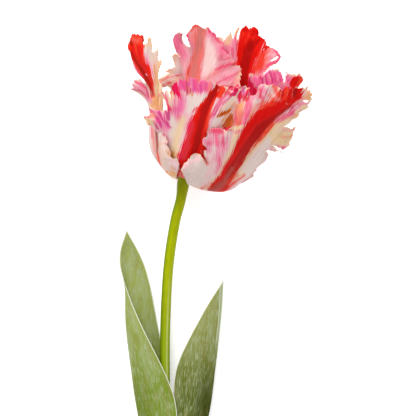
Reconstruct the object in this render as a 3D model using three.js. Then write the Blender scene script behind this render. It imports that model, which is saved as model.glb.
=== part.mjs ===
// A cut parrot tulip lying on its back: stem, two leaves, six tepals, pistil and six stamens.
// Millimetres. +Y runs along the stem from the cut end to the bloom, +Z is up from the surface.
// Origin: on the surface, under the middle of the flower's box.
import * as THREE from "three";

// Driving dimensions
const STEM_RADIUS = 3.4;
const STEM_STEPS = 40;
const STEM_SIDES = 14;
const RECEPTACLE_RADIUS = 4.2;
const RECEPTACLE_LENGTH = 5;
const RECEPTACLE_BLEND = 5;
const TEPAL_THICKNESS = 0.8;
const LEAF_THICKNESS = 0.8;
const LEAF_TIP_SHARE = 0.985;
const SEAT_GAP = 0.35;

// Pistil: [distance from its foot, radius] pairs, and how deep its three sides and lobes are cut
const PISTIL_PROFILE = [
  [0, 1.9], [2, 2.3], [6, 3.1], [14, 3.5], [23, 2.9], [26, 2.2], [29, 4.4], [31, 3.6], [32, 1.4],
];
const PISTIL_HEIGHT = 32;
const PISTIL_LOBES = 3;
const OVARY_LOBE_DEPTH = 0.06;
const STIGMA_LOBE_DEPTH = 0.22;
const OVARY_END = 24;
const STIGMA_START = 29;
const PISTIL_STEPS = 24;
const PISTIL_SIDES = 18;

// Stamen: [radius, height] points of its route round the bloom's axis, and its own thickness
const STAMEN_COUNT = 6;
const STAMEN_ROUTE = [[3.3, SEAT_GAP], [5.2, 8], [6.6, 14], [8.2, 23], [9, 32]];
const STAMEN_PROFILE = [[0, 0.8], [12, 0.55], [14, 0.6], [16, 1.7], [26, 1.6], [33, 0.5]];
const STAMEN_STEPS = 18;
const STAMEN_SIDES = 8;

// Finish of each kind of tissue
const STEM_FINISH = { colour: 0x9aa62b, roughness: 0.45 };
const LEAF_ROUGHNESS = 0.55;
const TEPAL_ROUGHNESS = 0.5;
const PISTIL_FINISH = { colour: 0xb9b96a, roughness: 0.5 };
const STAMEN_FINISH = { colour: 0x4a3438, roughness: 0.8 };

// Grid of a tepal or leaf: columns between neighbouring veins, rows along each vein
const COLUMNS_PER_VEIN = 3;
const TEPAL_ROWS = 9;
const LEAF_ROWS = 18;

// The receptacle is the stem's swollen top, which carries everything in the bloom
const RECEPTACLE_TOP = new THREE.Vector3(-19.9, 102.6, 24.6);
const BLOOM_AXIS = new THREE.Vector3(0.33, 0.86, 0.38).normalize();
const BLOOM_RIGHT = new THREE.Vector3(1, 0, 0).projectOnPlane(BLOOM_AXIS).normalize();
const BLOOM_FRONT = new THREE.Vector3().crossVectors(BLOOM_RIGHT, BLOOM_AXIS);

// Centre line of the stem, from the cut end to the top of the receptacle
const STEM_LINE = [[-29.8, -201.5, 3.45], [-30.4, -165, 5.6], [-31, -140, 7], [-32.2, -100, 8],
 [-33.3, -60, 8.3], [-33.8, -25, 8.6], [-33.3, 4.3, 9], [-32, 30.7, 10],
 [-30, 50.5, 12], [-27.1, 70.3, 15.2], [-24.3, 84, 18.2], [-21.22, 99.16, 23.08],
 [-19.9, 102.6, 24.6]];

// A tepal or leaf is a net of veins, listed from its left margin to its right margin. Each vein
// runs from the base to the rim. A tepal's veins start on the receptacle, so their lists begin
// one point further on. A cut shortens the veins near `at`, counted in veins, by a share `depth`.

// Outer tepal, front right: the widest one, its tip rolled out over the right side.
const PETAL_FRONT_RIGHT = {
  name: "petal_front_right",
  colour: 0xd8434f,
  seat: { from: 80, to: 16, radius: 5.0, height: -3.3 },
  veins: [
    [[-17.5, 94, 39], [-18.5, 94, 47], [-20.3, 97.5, 52.5], [-21.8, 101.5, 56], [-23, 105.5, 57.5]],
    [[-13.5, 92, 41], [-12.3, 94.5, 51], [-12.6, 101, 58], [-13.3, 108, 62.5], [-14.5, 114.5, 65]],
    [[-9, 90.5, 42], [-5, 95.5, 54], [-4, 107.5, 63.5], [-4, 119.5, 69.5], [-3.5, 131, 74]],
    [[-4.5, 89.8, 42.5], [2, 96.5, 54.5], [8, 112.5, 66], [12, 130, 75], [16, 148, 80]],
    [[-2, 89.6, 42], [6.5, 98, 54], [16, 116, 66], [25, 137, 75.5], [34, 160.5, 80]],
    [[0.5, 89.4, 41.5], [11, 101.5, 52.5], [23.5, 119.5, 64], [37, 137.5, 72.5], [54, 158, 76]],
    [[2.6, 89.3, 40.2], [14.2, 101.2, 50.3], [27.5, 118, 60.8], [41.5, 135, 68.7], [61.5, 155, 71]],
    [[4.2, 89.2, 39], [17, 101, 48], [31, 116.2, 57.3], [44, 130.5, 63.5], [61.5, 144, 65.5]],
    [[5.2, 89.4, 38], [18.3, 100.6, 46.3], [31.8, 114.3, 54.5], [43.5, 126.5, 59.5], [54.5, 137.5, 61]],
    [[6, 89.6, 36.9], [19.3, 100.2, 44], [31.8, 111.8, 50.6], [42.2, 121.8, 55.2], [52, 131.5, 57]],
    [[6.8, 89.9, 35.5], [19.6, 99.3, 41.6], [30.5, 108.5, 46.8], [39.5, 116, 50.6], [48.5, 122, 52.5]],
    [[7.3, 90.3, 34], [18.8, 97.8, 38.6], [27.6, 104.6, 43], [35, 110.8, 46.4], [43.5, 116, 48.5]],
    [[7.7, 90.8, 32.5], [17, 96, 36], [23, 100.3, 39], [28.5, 105, 41.5], [34.5, 112, 43.5]],
    [[8, 91.2, 31], [15.4, 94.8, 33.4], [19.6, 97.6, 35.2], [23.4, 100.4, 36.8], [28, 104.8, 38.4]],
    [[8, 91.5, 30], [14, 93.8, 31.4], [17.4, 95.2, 32.5], [20.4, 96.6, 33.4], [24.8, 98.6, 34.4]],
  ],
  cuts: [
    { at: 1.5, width: 0.3, depth: 0.12 },
    { at: 3.4, width: 0.25, depth: 0.1 },
    { at: 7.5, width: 0.25, depth: 0.12 },
    { at: 8.5, width: 0.3, depth: 0.1 },
    { at: 10.55, width: 0.25, depth: 0.12 },
    { at: 11.6, width: 0.3, depth: 0.12 },
  ],
};

// Inner tepal, front: leans left, its left side lobe hooks out over the left tepal.
const PETAL_FRONT = {
  name: "petal_front",
  colour: 0xdc5f80,
  seat: { from: 131, to: 75, radius: 5.0, height: -0.35 },
  veins: [
    [[-31, 104.5, 33.5], [-34.6, 112, 38.5], [-34.6, 118.5, 43.6], [-35.8, 125, 50], [-43, 132, 55]],
    [[-30, 103.5, 35.5], [-34.3, 113.5, 43.5], [-35.2, 123, 49.8], [-39, 132, 56], [-48, 137.5, 58.5]],
    [[-29.3, 102.8, 36.8], [-33, 113, 45.8], [-34.5, 124.5, 52.2], [-36, 134, 57.5],
     [-42.5, 142.8, 60]],
    [[-28.5, 102, 38], [-31.5, 112.5, 48], [-32, 126, 55.5], [-31.5, 139, 62], [-33.5, 153, 66]],
    [[-27, 101, 39.5], [-28.5, 111.5, 51], [-26.5, 127, 60.5], [-24.5, 145, 69.5], [-25.5, 162, 75]],
    [[-25.3, 100.2, 41.3], [-25.2, 109.5, 54.3], [-20.8, 125.5, 64], [-15, 145, 73], [-11, 163.5, 80]],
    [[-23.5, 99.3, 41.8], [-21.5, 107.5, 54.8], [-15.5, 121.5, 64.6], [-8, 139.5, 75],
     [1.5, 160.5, 84]],
    [[-21.2, 98.4, 41.8], [-17.5, 105, 54.6], [-10, 118, 63.8], [-1, 136.5, 75.5], [10, 157.5, 83.5]],
    [[-19.6, 98, 41.5], [-14.8, 103.8, 54], [-6.5, 116, 62.8], [4.5, 136, 73.2], [20.5, 157, 80]],
    [[-18.6, 97.8, 41.3], [-13, 103, 53.3], [-5, 114, 62.3], [3.5, 129.5, 70.5], [14, 147.5, 77]],
    [[-17.5, 97.5, 41], [-11.5, 102.5, 52.3], [-4.6, 111.5, 61], [1.6, 124, 67.6], [9.5, 141, 73.5]],
    [[-16.4, 97.2, 40.6], [-10.5, 101.8, 51.5], [-4.8, 108.8, 58.5], [-0.8, 118.5, 64.6],
     [4, 131, 69.5]],
    [[-15, 97, 40], [-9, 101, 50.5], [-5, 106, 56], [-2.5, 111, 59.5], [-0.5, 117, 62.5]],
  ],
  cuts: [
    { at: 2.6, width: 0.3, depth: 0.2 },
    { at: 3.5, width: 0.3, depth: 0.2 },
    { at: 7.55, width: 0.25, depth: 0.1 },
    { at: 8.6, width: 0.3, depth: 0.12 },
    { at: 9.5, width: 0.25, depth: 0.14 },
    { at: 10.5, width: 0.3, depth: 0.14 },
  ],
};

// Outer tepal, left: a long stalk of a blade, with a low lobe wrapped over the front tepal.
const PETAL_LEFT = {
  name: "petal_left",
  colour: 0xd9a29a,
  seat: { from: 199, to: 131, radius: 5.3, height: -3.1 },
  veins: [
    [[-28.5, 110.5, 14], [-31, 118, 8], [-32.2, 124, 6.5], [-33, 130, 6.8], [-33.8, 135, 8.5],
     [-34.8, 140, 11.5], [-36.2, 144.5, 15], [-38, 149, 18]],
    [[-33.5, 107.5, 20], [-40.5, 114.5, 17], [-43, 121, 17.2], [-43.6, 128, 20], [-43.4, 134, 24],
     [-43, 140, 29], [-43.3, 146, 34], [-47, 152, 38.5]],
    [[-34, 105.5, 25], [-41.5, 113.5, 24.5], [-43.8, 121.5, 26], [-44, 130, 30], [-43.5, 138, 35],
     [-43.5, 145, 40], [-47.5, 152, 43.5], [-56.5, 157, 46]],
    [[-34, 104.8, 26.5], [-41, 112.8, 28], [-43.2, 122, 30.5], [-43.3, 131.5, 35], [-43.1, 140.5, 40.5],
     [-43.3, 148.5, 45], [-47, 156, 48], [-55, 163.5, 49]],
    [[-33.5, 103.8, 28.5], [-40, 111.8, 32], [-42.2, 123, 36], [-42.8, 135, 41], [-43, 147, 46.5],
     [-45.5, 159.5, 50.5], [-53.8, 171.5, 53], [-58.2, 187, 55]],
    [[-33, 102.8, 30], [-39.2, 111.2, 35], [-41.2, 122.6, 39], [-42, 135, 43.5], [-41.8, 147, 48.5],
     [-43.2, 159, 52.5], [-49, 171.5, 55.5], [-55.5, 194.5, 58]],
    [[-32.3, 101.5, 32], [-38, 110.5, 38], [-40.2, 122.5, 41.6], [-40.8, 135, 45.5], [-40, 147, 50],
     [-40.8, 158, 54.5], [-45, 171.5, 58.5], [-48, 194.5, 62]],
    [[-31.3, 100.6, 33.2], [-37, 109.3, 40], [-39.6, 121, 43.5], [-39.5, 134.5, 47], [-37.8, 147, 51],
     [-39, 158, 55], [-41.2, 171.5, 58.5], [-43, 191, 60]],
    [[-30.5, 100, 34.3], [-36, 108.2, 41.8], [-38.8, 119.8, 45], [-38.8, 134, 48], [-35, 146, 51],
     [-36, 157, 54.5], [-37.5, 169, 57], [-36, 182, 57.5]],
    [[-28.9, 98.7, 36.6], [-32.5, 104.6, 46.3], [-34, 109.2, 48.9], [-34.8, 112.5, 50.5],
     [-35.2, 115.2, 51.7], [-35.5, 117.4, 52.5], [-35.7, 119.2, 53.1], [-35.8, 121, 53.6]],
    [[-27.3, 98, 38.5], [-28.7, 101.5, 47.5], [-29.3, 104.5, 51], [-29.8, 108, 53.2],
     [-30.1, 111.5, 54.7], [-30.3, 115, 55.9], [-30.6, 118.5, 56.7], [-31, 122, 57.5]],
    [[-25.7, 97.5, 39.5], [-26, 99.3, 47], [-25.4, 101.2, 50.6], [-24.7, 103, 52.8],
     [-24.4, 104.8, 54.3], [-24.5, 106.8, 55.7], [-25, 108.8, 56.7], [-25.8, 111, 57.5]],
  ],
  cuts: [
    { at: 0.5, width: 0.3, depth: 0.1 },
    { at: 3.5, width: 0.35, depth: 0.22 },
    { at: 6.5, width: 0.3, depth: 0.18 },
    { at: 8.5, width: 0.5, depth: 0.7 },
  ],
};

// Inner tepal, back left: stands tall behind the cup, inner face up.
const PETAL_BACK_LEFT = {
  name: "petal_back_left",
  colour: 0xe39aa8,
  seat: { from: 199, to: 251, radius: 5.0, height: -0.35 },
  veins: [
    [[-27.5, 111.5, 17], [-29.8, 120.5, 12.5], [-29.8, 130, 9.8], [-28.8, 139, 8.5], [-28.5, 148, 8.5],
     [-31, 157.5, 11.5]],
    [[-27.5, 112, 15.5], [-28.8, 123, 9.8], [-27.8, 135, 7], [-26.5, 147, 6.5], [-29, 156, 10],
     [-39, 162.5, 17]],
    [[-27.2, 112.3, 14.5], [-28, 125, 8.5], [-26, 140, 5.2], [-24.5, 154, 4.8], [-26, 163, 7],
     [-35.5, 169.5, 13]],
    [[-26.8, 112.5, 13.5], [-27, 126, 7], [-24, 143.5, 3.6], [-22.8, 160, 3.6], [-24, 171.5, 6],
     [-29.5, 181.5, 12]],
    [[-26.4, 112.5, 13], [-26.3, 126.3, 6.3], [-22.5, 144.8, 2.2], [-21, 163, 2.6], [-24.5, 179.5, 7],
     [-28, 193.5, 14]],
    [[-26, 112.4, 12.6], [-25.6, 126.3, 5.7], [-21.3, 145.6, 1.5], [-18.5, 164.5, 2.2], [-18, 182.5, 7],
     [-22, 196.5, 15]],
    [[-25.6, 112.3, 12.3], [-25, 126.2, 5.3], [-20.5, 146, 1.1], [-17.3, 165, 2.2], [-16.8, 183.5, 7],
     [-20.5, 196.5, 14]],
    [[-25, 112, 12], [-24.3, 126, 5], [-19.5, 147, 0.8], [-15.5, 166, 2.6], [-13.5, 185, 7.5],
     [-13.5, 202, 16]],
    [[-24.2, 111.8, 11.8], [-22.8, 125.6, 4.8], [-17.2, 146.8, 1], [-11.5, 165.5, 3], [-7.5, 182.5, 8],
     [-5, 198.5, 16]],
    [[-23, 111.5, 11.8], [-20.5, 125, 4.8], [-14, 146, 1.4], [-7.5, 163.5, 4], [-2, 178.5, 8.5],
     [4.5, 192, 15]],
    [[-21.8, 111.2, 11.8], [-18.5, 124.2, 4.9], [-11, 145, 2.4], [-3.8, 161.5, 5], [2.5, 174.5, 9.5],
     [9.5, 182, 14]],
    [[-21, 111, 11.8], [-16.5, 123.5, 5], [-8.5, 143.5, 3.3], [-0.5, 158, 6.2], [6, 168.5, 10],
     [14.5, 176.5, 14]],
    [[-20, 110.7, 11.9], [-14.6, 122.4, 5.3], [-5.8, 141.2, 4.2], [2.5, 154, 7.5], [9, 162.5, 10.8],
     [17.3, 171, 14]],
    [[-19.3, 110.5, 12], [-13, 121.5, 5.5], [-3.8, 138.8, 4.9], [4, 149.5, 8], [10.5, 157, 11],
     [17.5, 163, 13.5]],
    [[-17.8, 110, 12.3], [-11, 119.5, 6.5], [-2, 133, 6], [5, 142.5, 8.2], [10.5, 149.5, 10.5],
     [17, 156.5, 12.5]],
  ],
  cuts: [
    { at: 1.55, width: 0.25, depth: 0.14 },
    { at: 3.2, width: 0.3, depth: 0.2 },
    { at: 5.5, width: 0.3, depth: 0.16 },
    { at: 10.3, width: 0.25, depth: 0.1 },
  ],
};

// Outer tepal, back right: carries the bloom on the surface, inner face up.
const PETAL_BACK_RIGHT = {
  name: "petal_back_right",
  colour: 0xc81420,
  seat: { from: 252, to: 316, radius: 5.1, height: -3.1 },
  veins: [
    [[-18.5, 108.5, 9], [-15.5, 117, 3.2], [-12, 125, 1.3], [-8.5, 133, 0.7], [-5, 141, 0.6],
     [-1, 152, 0.8]],
    [[-17, 108, 8.5], [-12.5, 117.5, 2.6], [-7.5, 129, 0.8], [-2.5, 141, 0.6], [1.2, 154, 0.7],
     [4.5, 172, 2.5]],
    [[-16.2, 107.8, 8.3], [-10.8, 117.5, 2.4], [-4.5, 131.5, 0.6], [1, 146, 0.6], [4.2, 166, 2.2],
     [5.5, 192, 7.5]],
    [[-15.5, 107.5, 8.2], [-9, 117.5, 2.2], [-2, 132.5, 0.5], [4, 149, 0.7], [7.6, 170, 3.2],
     [11, 199, 9]],
    [[-14.8, 107.3, 8.1], [-7.8, 117.3, 2], [0, 133, 0.5], [6.8, 150.5, 0.9], [11, 171, 3.7],
     [15.5, 200, 10.5]],
    [[-14, 107, 8], [-6.5, 117, 1.8], [2, 134, 0.5], [9.2, 152, 1.1], [13.8, 171, 3.8],
     [17.5, 199.5, 11]],
    [[-13.2, 106.5, 8], [-5, 116.5, 1.8], [4.4, 134.2, 0.6], [12.4, 153, 1.3], [17.6, 172, 4.3],
     [21.8, 200.5, 12]],
    [[-12.5, 106, 8], [-3.5, 116, 1.8], [6.8, 134.3, 0.8], [15.6, 153.5, 1.8], [21.8, 172, 5],
     [27, 199.5, 12.5]],
    [[-11.6, 105.5, 8.2], [-2, 115.3, 2.2], [9, 133.3, 1.2], [18.4, 152.5, 2.5], [26, 170, 6.5],
     [33, 191.5, 13]],
    [[-11, 105, 8.5], [-0.5, 114.5, 2.6], [10.8, 132.2, 1.7], [20.8, 151, 3.2], [28.5, 167.5, 7.8],
     [34.5, 188, 14]],
    [[-10.2, 104.5, 9], [0.8, 113.5, 3.3], [12.4, 130.8, 2.4], [22.6, 148.3, 4.2], [31.5, 165.5, 9.5],
     [43, 182.2, 15.5]],
    [[-9.5, 104, 9.5], [2, 112.5, 4], [13.6, 129, 3], [24, 145.6, 5.2], [33, 162.5, 10.5],
     [44.3, 179, 16]],
    [[-8.5, 103, 11], [3.5, 110, 6], [14.2, 125, 5.2], [24, 140, 7.3], [31, 153, 10.5],
     [36.5, 169, 15]],
    [[-7.5, 102, 12.5], [4, 107.5, 8.5], [13.4, 118, 8.4], [22, 129, 10], [28, 138.5, 12],
     [33, 150, 14]],
  ],
  cuts: [
    { at: 1.5, width: 0.3, depth: 0.2 },
    { at: 3.5, width: 0.3, depth: 0.1 },
    { at: 4.5, width: 0.3, depth: 0.1 },
    { at: 8.5, width: 0.3, depth: 0.16 },
    { at: 10.5, width: 0.3, depth: 0.12 },
    { at: 11.6, width: 0.3, depth: 0.1 },
  ],
};

// Inner tepal, right: tucked between the front right and the back right ones.
const PETAL_RIGHT = {
  name: "petal_right",
  colour: 0xd9467f,
  seat: { from: 369, to: 313, radius: 5.0, height: -0.35 },
  veins: [
    [[-6, 93.5, 35], [2, 97, 44], [7, 106, 51], [10.5, 117, 56.5], [13.5, 128, 60]],
    [[-5, 94.5, 33.5], [3.5, 98.5, 42], [10, 109, 49], [15.5, 125, 56], [19, 148, 63]],
    [[-4, 95.5, 31.5], [5.5, 100, 38.5], [13, 112, 45.5], [19.5, 130, 53], [24, 161, 62]],
    [[-3.2, 96.5, 29], [7.5, 101.5, 34.5], [16.5, 115, 41], [25.5, 134.5, 49], [34.5, 168, 58]],
    [[-2.8, 97.5, 26.5], [9, 103, 30.5], [19.5, 117, 36.5], [31, 136, 43.5], [44, 168.5, 53]],
    [[-2.8, 98.6, 24], [9.5, 104.5, 26.5], [21, 118.5, 31.5], [34, 136.5, 38], [55.5, 163.5, 48]],
    [[-3.2, 99.8, 21.5], [9, 105.5, 22], [20.5, 118, 26], [32.5, 132.5, 31.5], [49, 150, 38]],
    [[-4, 101.2, 19.5], [7, 106, 18.5], [17, 116, 20.5], [27, 127, 24.5], [37, 137, 28]],
  ],
  cuts: [
    { at: 1.5, width: 0.3, depth: 0.15 },
    { at: 4.1, width: 0.15, depth: 0.1 },
    { at: 5.5, width: 0.3, depth: 0.12 },
  ],
};

// Lower leaf: folded along its midrib, which faces left, and clasping the stem at its base.
const LEAF_LEFT = {
  name: "leaf_left",
  colour: 0x8fa276,
  veins: [
    [[-26, -165, 8], [-26.2, -140, 11.2], [-24, -105, 14.6], [-24.5, -59, 13.6], [-31.2, -36, 14],
     [-49.4, 0, 13.5], [-61.6, 29, 9.5], [-64.2, 46, 6], [-59, 63, 5]],
    [[-30.6, -165, 10.5], [-32.4, -140, 12.9], [-34, -105, 16.2], [-37.5, -59, 15.2], [-43, -36, 15],
     [-55.3, 0, 12], [-61, 29, 6], [-61, 46, 4], [-59, 63, 5]],
    [[-35.2, -165, 5.6], [-38.2, -140, 7], [-43, -105, 8.5], [-51, -59, 9], [-54.8, -36, 8.5],
     [-58.8, 0, 6.5], [-58, 29, 3], [-57, 46, 2.6], [-59, 63, 5]],
    [[-30.8, -165, 0.7], [-33, -140, 0.8], [-37, -105, 1.2], [-42, -59, 1.4], [-45.5, -36, 1.4],
     [-49.5, 0, 1.2], [-51.5, 29, 1.6], [-53, 46, 2.4], [-59, 63, 5]],
    [[-26, -165, 2.9], [-26.5, -140, 2], [-26, -105, 1.2], [-29, -59, 1.2], [-32, -36, 1],
     [-38.5, 0, 1.2], [-44.2, 29, 2.4], [-49.5, 46, 3.4], [-59, 63, 5]],
  ],
};

// Upper leaf: set higher on the stem, folded the other way, passing behind the lower leaf.
const LEAF_RIGHT = {
  name: "leaf_right",
  colour: 0x7f9058,
  veins: [
    [[-35.8, -124, 10], [-33.2, -107, 12.4], [-28.6, -85, 12.2], [-28, -59, 11.4], [-25.8, -29, 11.4],
     [-9.6, 5, 9.5], [4.3, 28, 6]],
    [[-31.6, -124, 12.6], [-27.4, -107, 12.8], [-19.5, -85, 12.8], [-16, -59, 12.2], [-13, -29, 11.6],
     [-2.8, 5, 8.8], [4.3, 28, 6]],
    [[-26.5, -124, 7.6], [-21.8, -107, 7.8], [-11.5, -85, 7.6], [-6, -59, 7], [-2.2, -29, 6.5],
     [2.4, 5, 6], [4.3, 28, 6]],
    [[-31.6, -124, 2.7], [-26.6, -107, 2.9], [-18.5, -85, 3], [-14.5, -59, 2.4], [-10, -29, 2],
     [-1.5, 5, 2.4], [4.3, 28, 6]],
    [[-36.4, -124, 5.6], [-31.5, -107, 2.9], [-26, -85, 2.8], [-25, -59, 2.4], [-19, -29, 2],
     [-6, 5, 3.2], [4.3, 28, 6]],
  ],
};

function point([x, y, z]) {
  return new THREE.Vector3(x, y, z);
}

function curveThrough(points) {
  return new THREE.CatmullRomCurve3(points, false, "catmullrom", 0.5);
}

// A point round the bloom's axis: 0 degrees is to the right and 90 degrees is to the front
function aroundBloom(degrees, radius, height) {
  const angle = THREE.MathUtils.degToRad(degrees);
  return RECEPTACLE_TOP.clone()
    .addScaledVector(BLOOM_RIGHT, radius * Math.cos(angle))
    .addScaledVector(BLOOM_FRONT, radius * Math.sin(angle))
    .addScaledVector(BLOOM_AXIS, height);
}

function seatedVeins(seat, veins) {
  return veins.map((vein, index) => {
    const degrees = THREE.MathUtils.lerp(seat.from, seat.to, index / (veins.length - 1));
    return [aroundBloom(degrees, seat.radius, seat.height), ...vein.map(point)];
  });
}

// Share of its vein that a column keeps once the cuts in the rim are taken out
function reachAt(position, cuts) {
  let reach = 1;
  for (const { at, width, depth } of cuts) {
    const closeness = Math.max(0, 1 - Math.abs(position - at) / width);
    reach -= depth * THREE.MathUtils.smoothstep(closeness, 0, 1);
  }
  return reach;
}

// Grid of points over a vein net, one list per column
function veinGrid(veins, rows, reachOf) {
  const crossCurves = veins[0].map((_, row) => curveThrough(veins.map((vein) => vein[row])));
  const columns = (veins.length - 1) * COLUMNS_PER_VEIN;
  const grid = [];
  for (let column = 0; column <= columns; column += 1) {
    const across = column / columns;
    const line = curveThrough(crossCurves.map((curve) => curve.getPoint(across)));
    const reach = reachOf(across * (veins.length - 1));
    grid.push(Array.from({ length: rows + 1 }, (_, row) => line.getPoint((reach * row) / rows)));
  }
  return grid;
}

function gridNormal(grid, column, row) {
  const before = grid[Math.max(column - 1, 0)][row];
  const after = grid[Math.min(column + 1, grid.length - 1)][row];
  const below = grid[column][Math.max(row - 1, 0)];
  const above = grid[column][Math.min(row + 1, grid[column].length - 1)];
  const across = new THREE.Vector3().subVectors(after, before);
  const along = new THREE.Vector3().subVectors(above, below);
  return across.cross(along).normalize();
}

function buildGeometry(vertices, triangles) {
  const geometry = new THREE.BufferGeometry();
  const coordinates = vertices.flatMap((vertex) => vertex.toArray());
  geometry.setAttribute("position", new THREE.Float32BufferAttribute(coordinates, 3));
  geometry.setIndex(triangles.flat());
  geometry.computeVertexNormals();
  return geometry;
}

// Closed sheet of even thickness over a grid: two skins and a rim that joins them
function sheetGeometry(grid, thickness) {
  const columns = grid.length;
  const rows = grid[0].length;
  const upper = [];
  const lower = [];
  for (let column = 0; column < columns; column += 1) {
    for (let row = 0; row < rows; row += 1) {
      const normal = gridNormal(grid, column, row);
      upper.push(grid[column][row].clone().addScaledVector(normal, thickness / 2));
      lower.push(grid[column][row].clone().addScaledVector(normal, -thickness / 2));
    }
  }
  const skin = columns * rows;
  const at = (column, row) => column * rows + row;
  const triangles = [];
  for (let column = 0; column + 1 < columns; column += 1) {
    for (let row = 0; row + 1 < rows; row += 1) {
      const a = at(column, row);
      const b = at(column + 1, row);
      const c = at(column + 1, row + 1);
      const d = at(column, row + 1);
      triangles.push([a, b, c], [a, c, d]);
      triangles.push([skin + a, skin + c, skin + b], [skin + a, skin + d, skin + c]);
    }
  }
  const edge = [];
  for (let column = 0; column + 1 < columns; column += 1) edge.push(at(column, 0));
  for (let row = 0; row + 1 < rows; row += 1) edge.push(at(columns - 1, row));
  for (let column = columns - 1; column > 0; column -= 1) edge.push(at(column, rows - 1));
  for (let row = rows - 1; row > 0; row -= 1) edge.push(at(0, row));
  edge.forEach((from, index) => {
    const to = edge[(index + 1) % edge.length];
    triangles.push([to, from, skin + from], [to, skin + from, skin + to]);
  });
  return buildGeometry([...upper, ...lower], triangles);
}

// Closed round body along a curve. radiusAt gets the length from the curve's start, in mm,
// and the angle round it.
function loftGeometry(curve, steps, sides, radiusAt) {
  const length = curve.getLength();
  const frames = curve.computeFrenetFrames(steps, false);
  const vertices = [];
  const triangles = [];
  for (let step = 0; step <= steps; step += 1) {
    const centre = curve.getPointAt(step / steps);
    for (let side = 0; side < sides; side += 1) {
      const angle = (2 * Math.PI * side) / sides;
      const radius = radiusAt((length * step) / steps, angle);
      vertices.push(centre.clone()
        .addScaledVector(frames.normals[step], radius * Math.cos(angle))
        .addScaledVector(frames.binormals[step], radius * Math.sin(angle)));
    }
  }
  for (let step = 0; step < steps; step += 1) {
    for (let side = 0; side < sides; side += 1) {
      const a = step * sides + side;
      const b = step * sides + ((side + 1) % sides);
      triangles.push([a, b, b + sides], [a, b + sides, a + sides]);
    }
  }
  const start = vertices.push(curve.getPointAt(0)) - 1;
  const end = vertices.push(curve.getPointAt(1)) - 1;
  for (let side = 0; side < sides; side += 1) {
    const next = (side + 1) % sides;
    triangles.push([start, next, side]);
    triangles.push([end, steps * sides + side, steps * sides + next]);
  }
  return buildGeometry(vertices, triangles);
}

// Radius along a body, read off a list of [distance, radius] pairs with eased steps between them
function profileRadius(profile, distance) {
  const next = profile.findIndex(([at]) => at >= distance);
  if (next === 0) return profile[0][1];
  if (next < 0) return profile[profile.length - 1][1];
  const [from, fromRadius] = profile[next - 1];
  const [to, toRadius] = profile[next];
  return THREE.MathUtils.lerp(fromRadius, toRadius, THREE.MathUtils.smoothstep(distance, from, to));
}

function makeMesh(name, geometry, { colour, roughness }) {
  const material = new THREE.MeshStandardMaterial({ color: colour, roughness, metalness: 0 });
  const mesh = new THREE.Mesh(geometry, material);
  mesh.name = name;
  return mesh;
}

function makeStem() {
  const line = curveThrough(STEM_LINE.map(point));
  const length = line.getLength();
  const radiusAt = (distance) => {
    const pastReceptacle = length - distance - RECEPTACLE_LENGTH;
    const slimness = THREE.MathUtils.smoothstep(pastReceptacle, 0, RECEPTACLE_BLEND);
    return THREE.MathUtils.lerp(RECEPTACLE_RADIUS, STEM_RADIUS, slimness);
  };
  return makeMesh("stem", loftGeometry(line, STEM_STEPS, STEM_SIDES, radiusAt), STEM_FINISH);
}

function makeLeaf({ name, colour, veins }) {
  const grid = veinGrid(veins.map((vein) => vein.map(point)), LEAF_ROWS, () => LEAF_TIP_SHARE);
  return makeMesh(name, sheetGeometry(grid, LEAF_THICKNESS), { colour, roughness: LEAF_ROUGHNESS });
}

function makeTepal({ name, colour, seat, veins, cuts }) {
  const reachOf = (position) => reachAt(position, cuts);
  const grid = veinGrid(seatedVeins(seat, veins), TEPAL_ROWS, reachOf);
  return makeMesh(name, sheetGeometry(grid, TEPAL_THICKNESS), { colour, roughness: TEPAL_ROUGHNESS });
}

// Ovary with three rounded sides, a short neck and a three-lobed stigma on top
function makePistil() {
  const line = new THREE.LineCurve3(
    aroundBloom(0, 0, SEAT_GAP),
    aroundBloom(0, 0, SEAT_GAP + PISTIL_HEIGHT),
  );
  const radiusAt = (distance, angle) => {
    const toStigma = THREE.MathUtils.smoothstep(distance, OVARY_END, STIGMA_START);
    const depth = THREE.MathUtils.lerp(OVARY_LOBE_DEPTH, STIGMA_LOBE_DEPTH, toStigma);
    return profileRadius(PISTIL_PROFILE, distance) * (1 + depth * Math.cos(PISTIL_LOBES * angle));
  };
  return makeMesh("pistil", loftGeometry(line, PISTIL_STEPS, PISTIL_SIDES, radiusAt), PISTIL_FINISH);
}

// A slim filament that leans out from the receptacle, with a long anther on its tip
function makeStamen(index) {
  const degrees = ((index + 0.5) * 360) / STAMEN_COUNT;
  const route = STAMEN_ROUTE.map(([radius, height]) => aroundBloom(degrees, radius, height));
  const radiusAt = (distance) => profileRadius(STAMEN_PROFILE, distance);
  const geometry = loftGeometry(curveThrough(route), STAMEN_STEPS, STAMEN_SIDES, radiusAt);
  return makeMesh(`stamen_${index + 1}`, geometry, STAMEN_FINISH);
}

const tulip = new THREE.Group();
tulip.add(makeStem());
for (const leaf of [LEAF_LEFT, LEAF_RIGHT]) tulip.add(makeLeaf(leaf));
const TEPALS = [
  PETAL_FRONT_RIGHT, PETAL_FRONT, PETAL_LEFT, PETAL_BACK_LEFT, PETAL_BACK_RIGHT, PETAL_RIGHT,
];
for (const tepal of TEPALS) tulip.add(makeTepal(tepal));
tulip.add(makePistil());
for (let index = 0; index < STAMEN_COUNT; index += 1) tulip.add(makeStamen(index));

export default tulip;
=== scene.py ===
"""Parrot tulip, cut and lying on its back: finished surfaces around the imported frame.

Laid out as an add-on: settings, one operator for each kind of piece and one for the stage, and a
panel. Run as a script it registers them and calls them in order.
Lengths are millimetres in the part's own frame, unless a name or a comment says otherwise.
"""
import math
from types import SimpleNamespace

import bpy
import numpy as np
from bpy.props import FloatProperty, FloatVectorProperty, IntProperty, PointerProperty
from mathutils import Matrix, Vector
from mathutils.geometry import delaunay_2d_cdt


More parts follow.
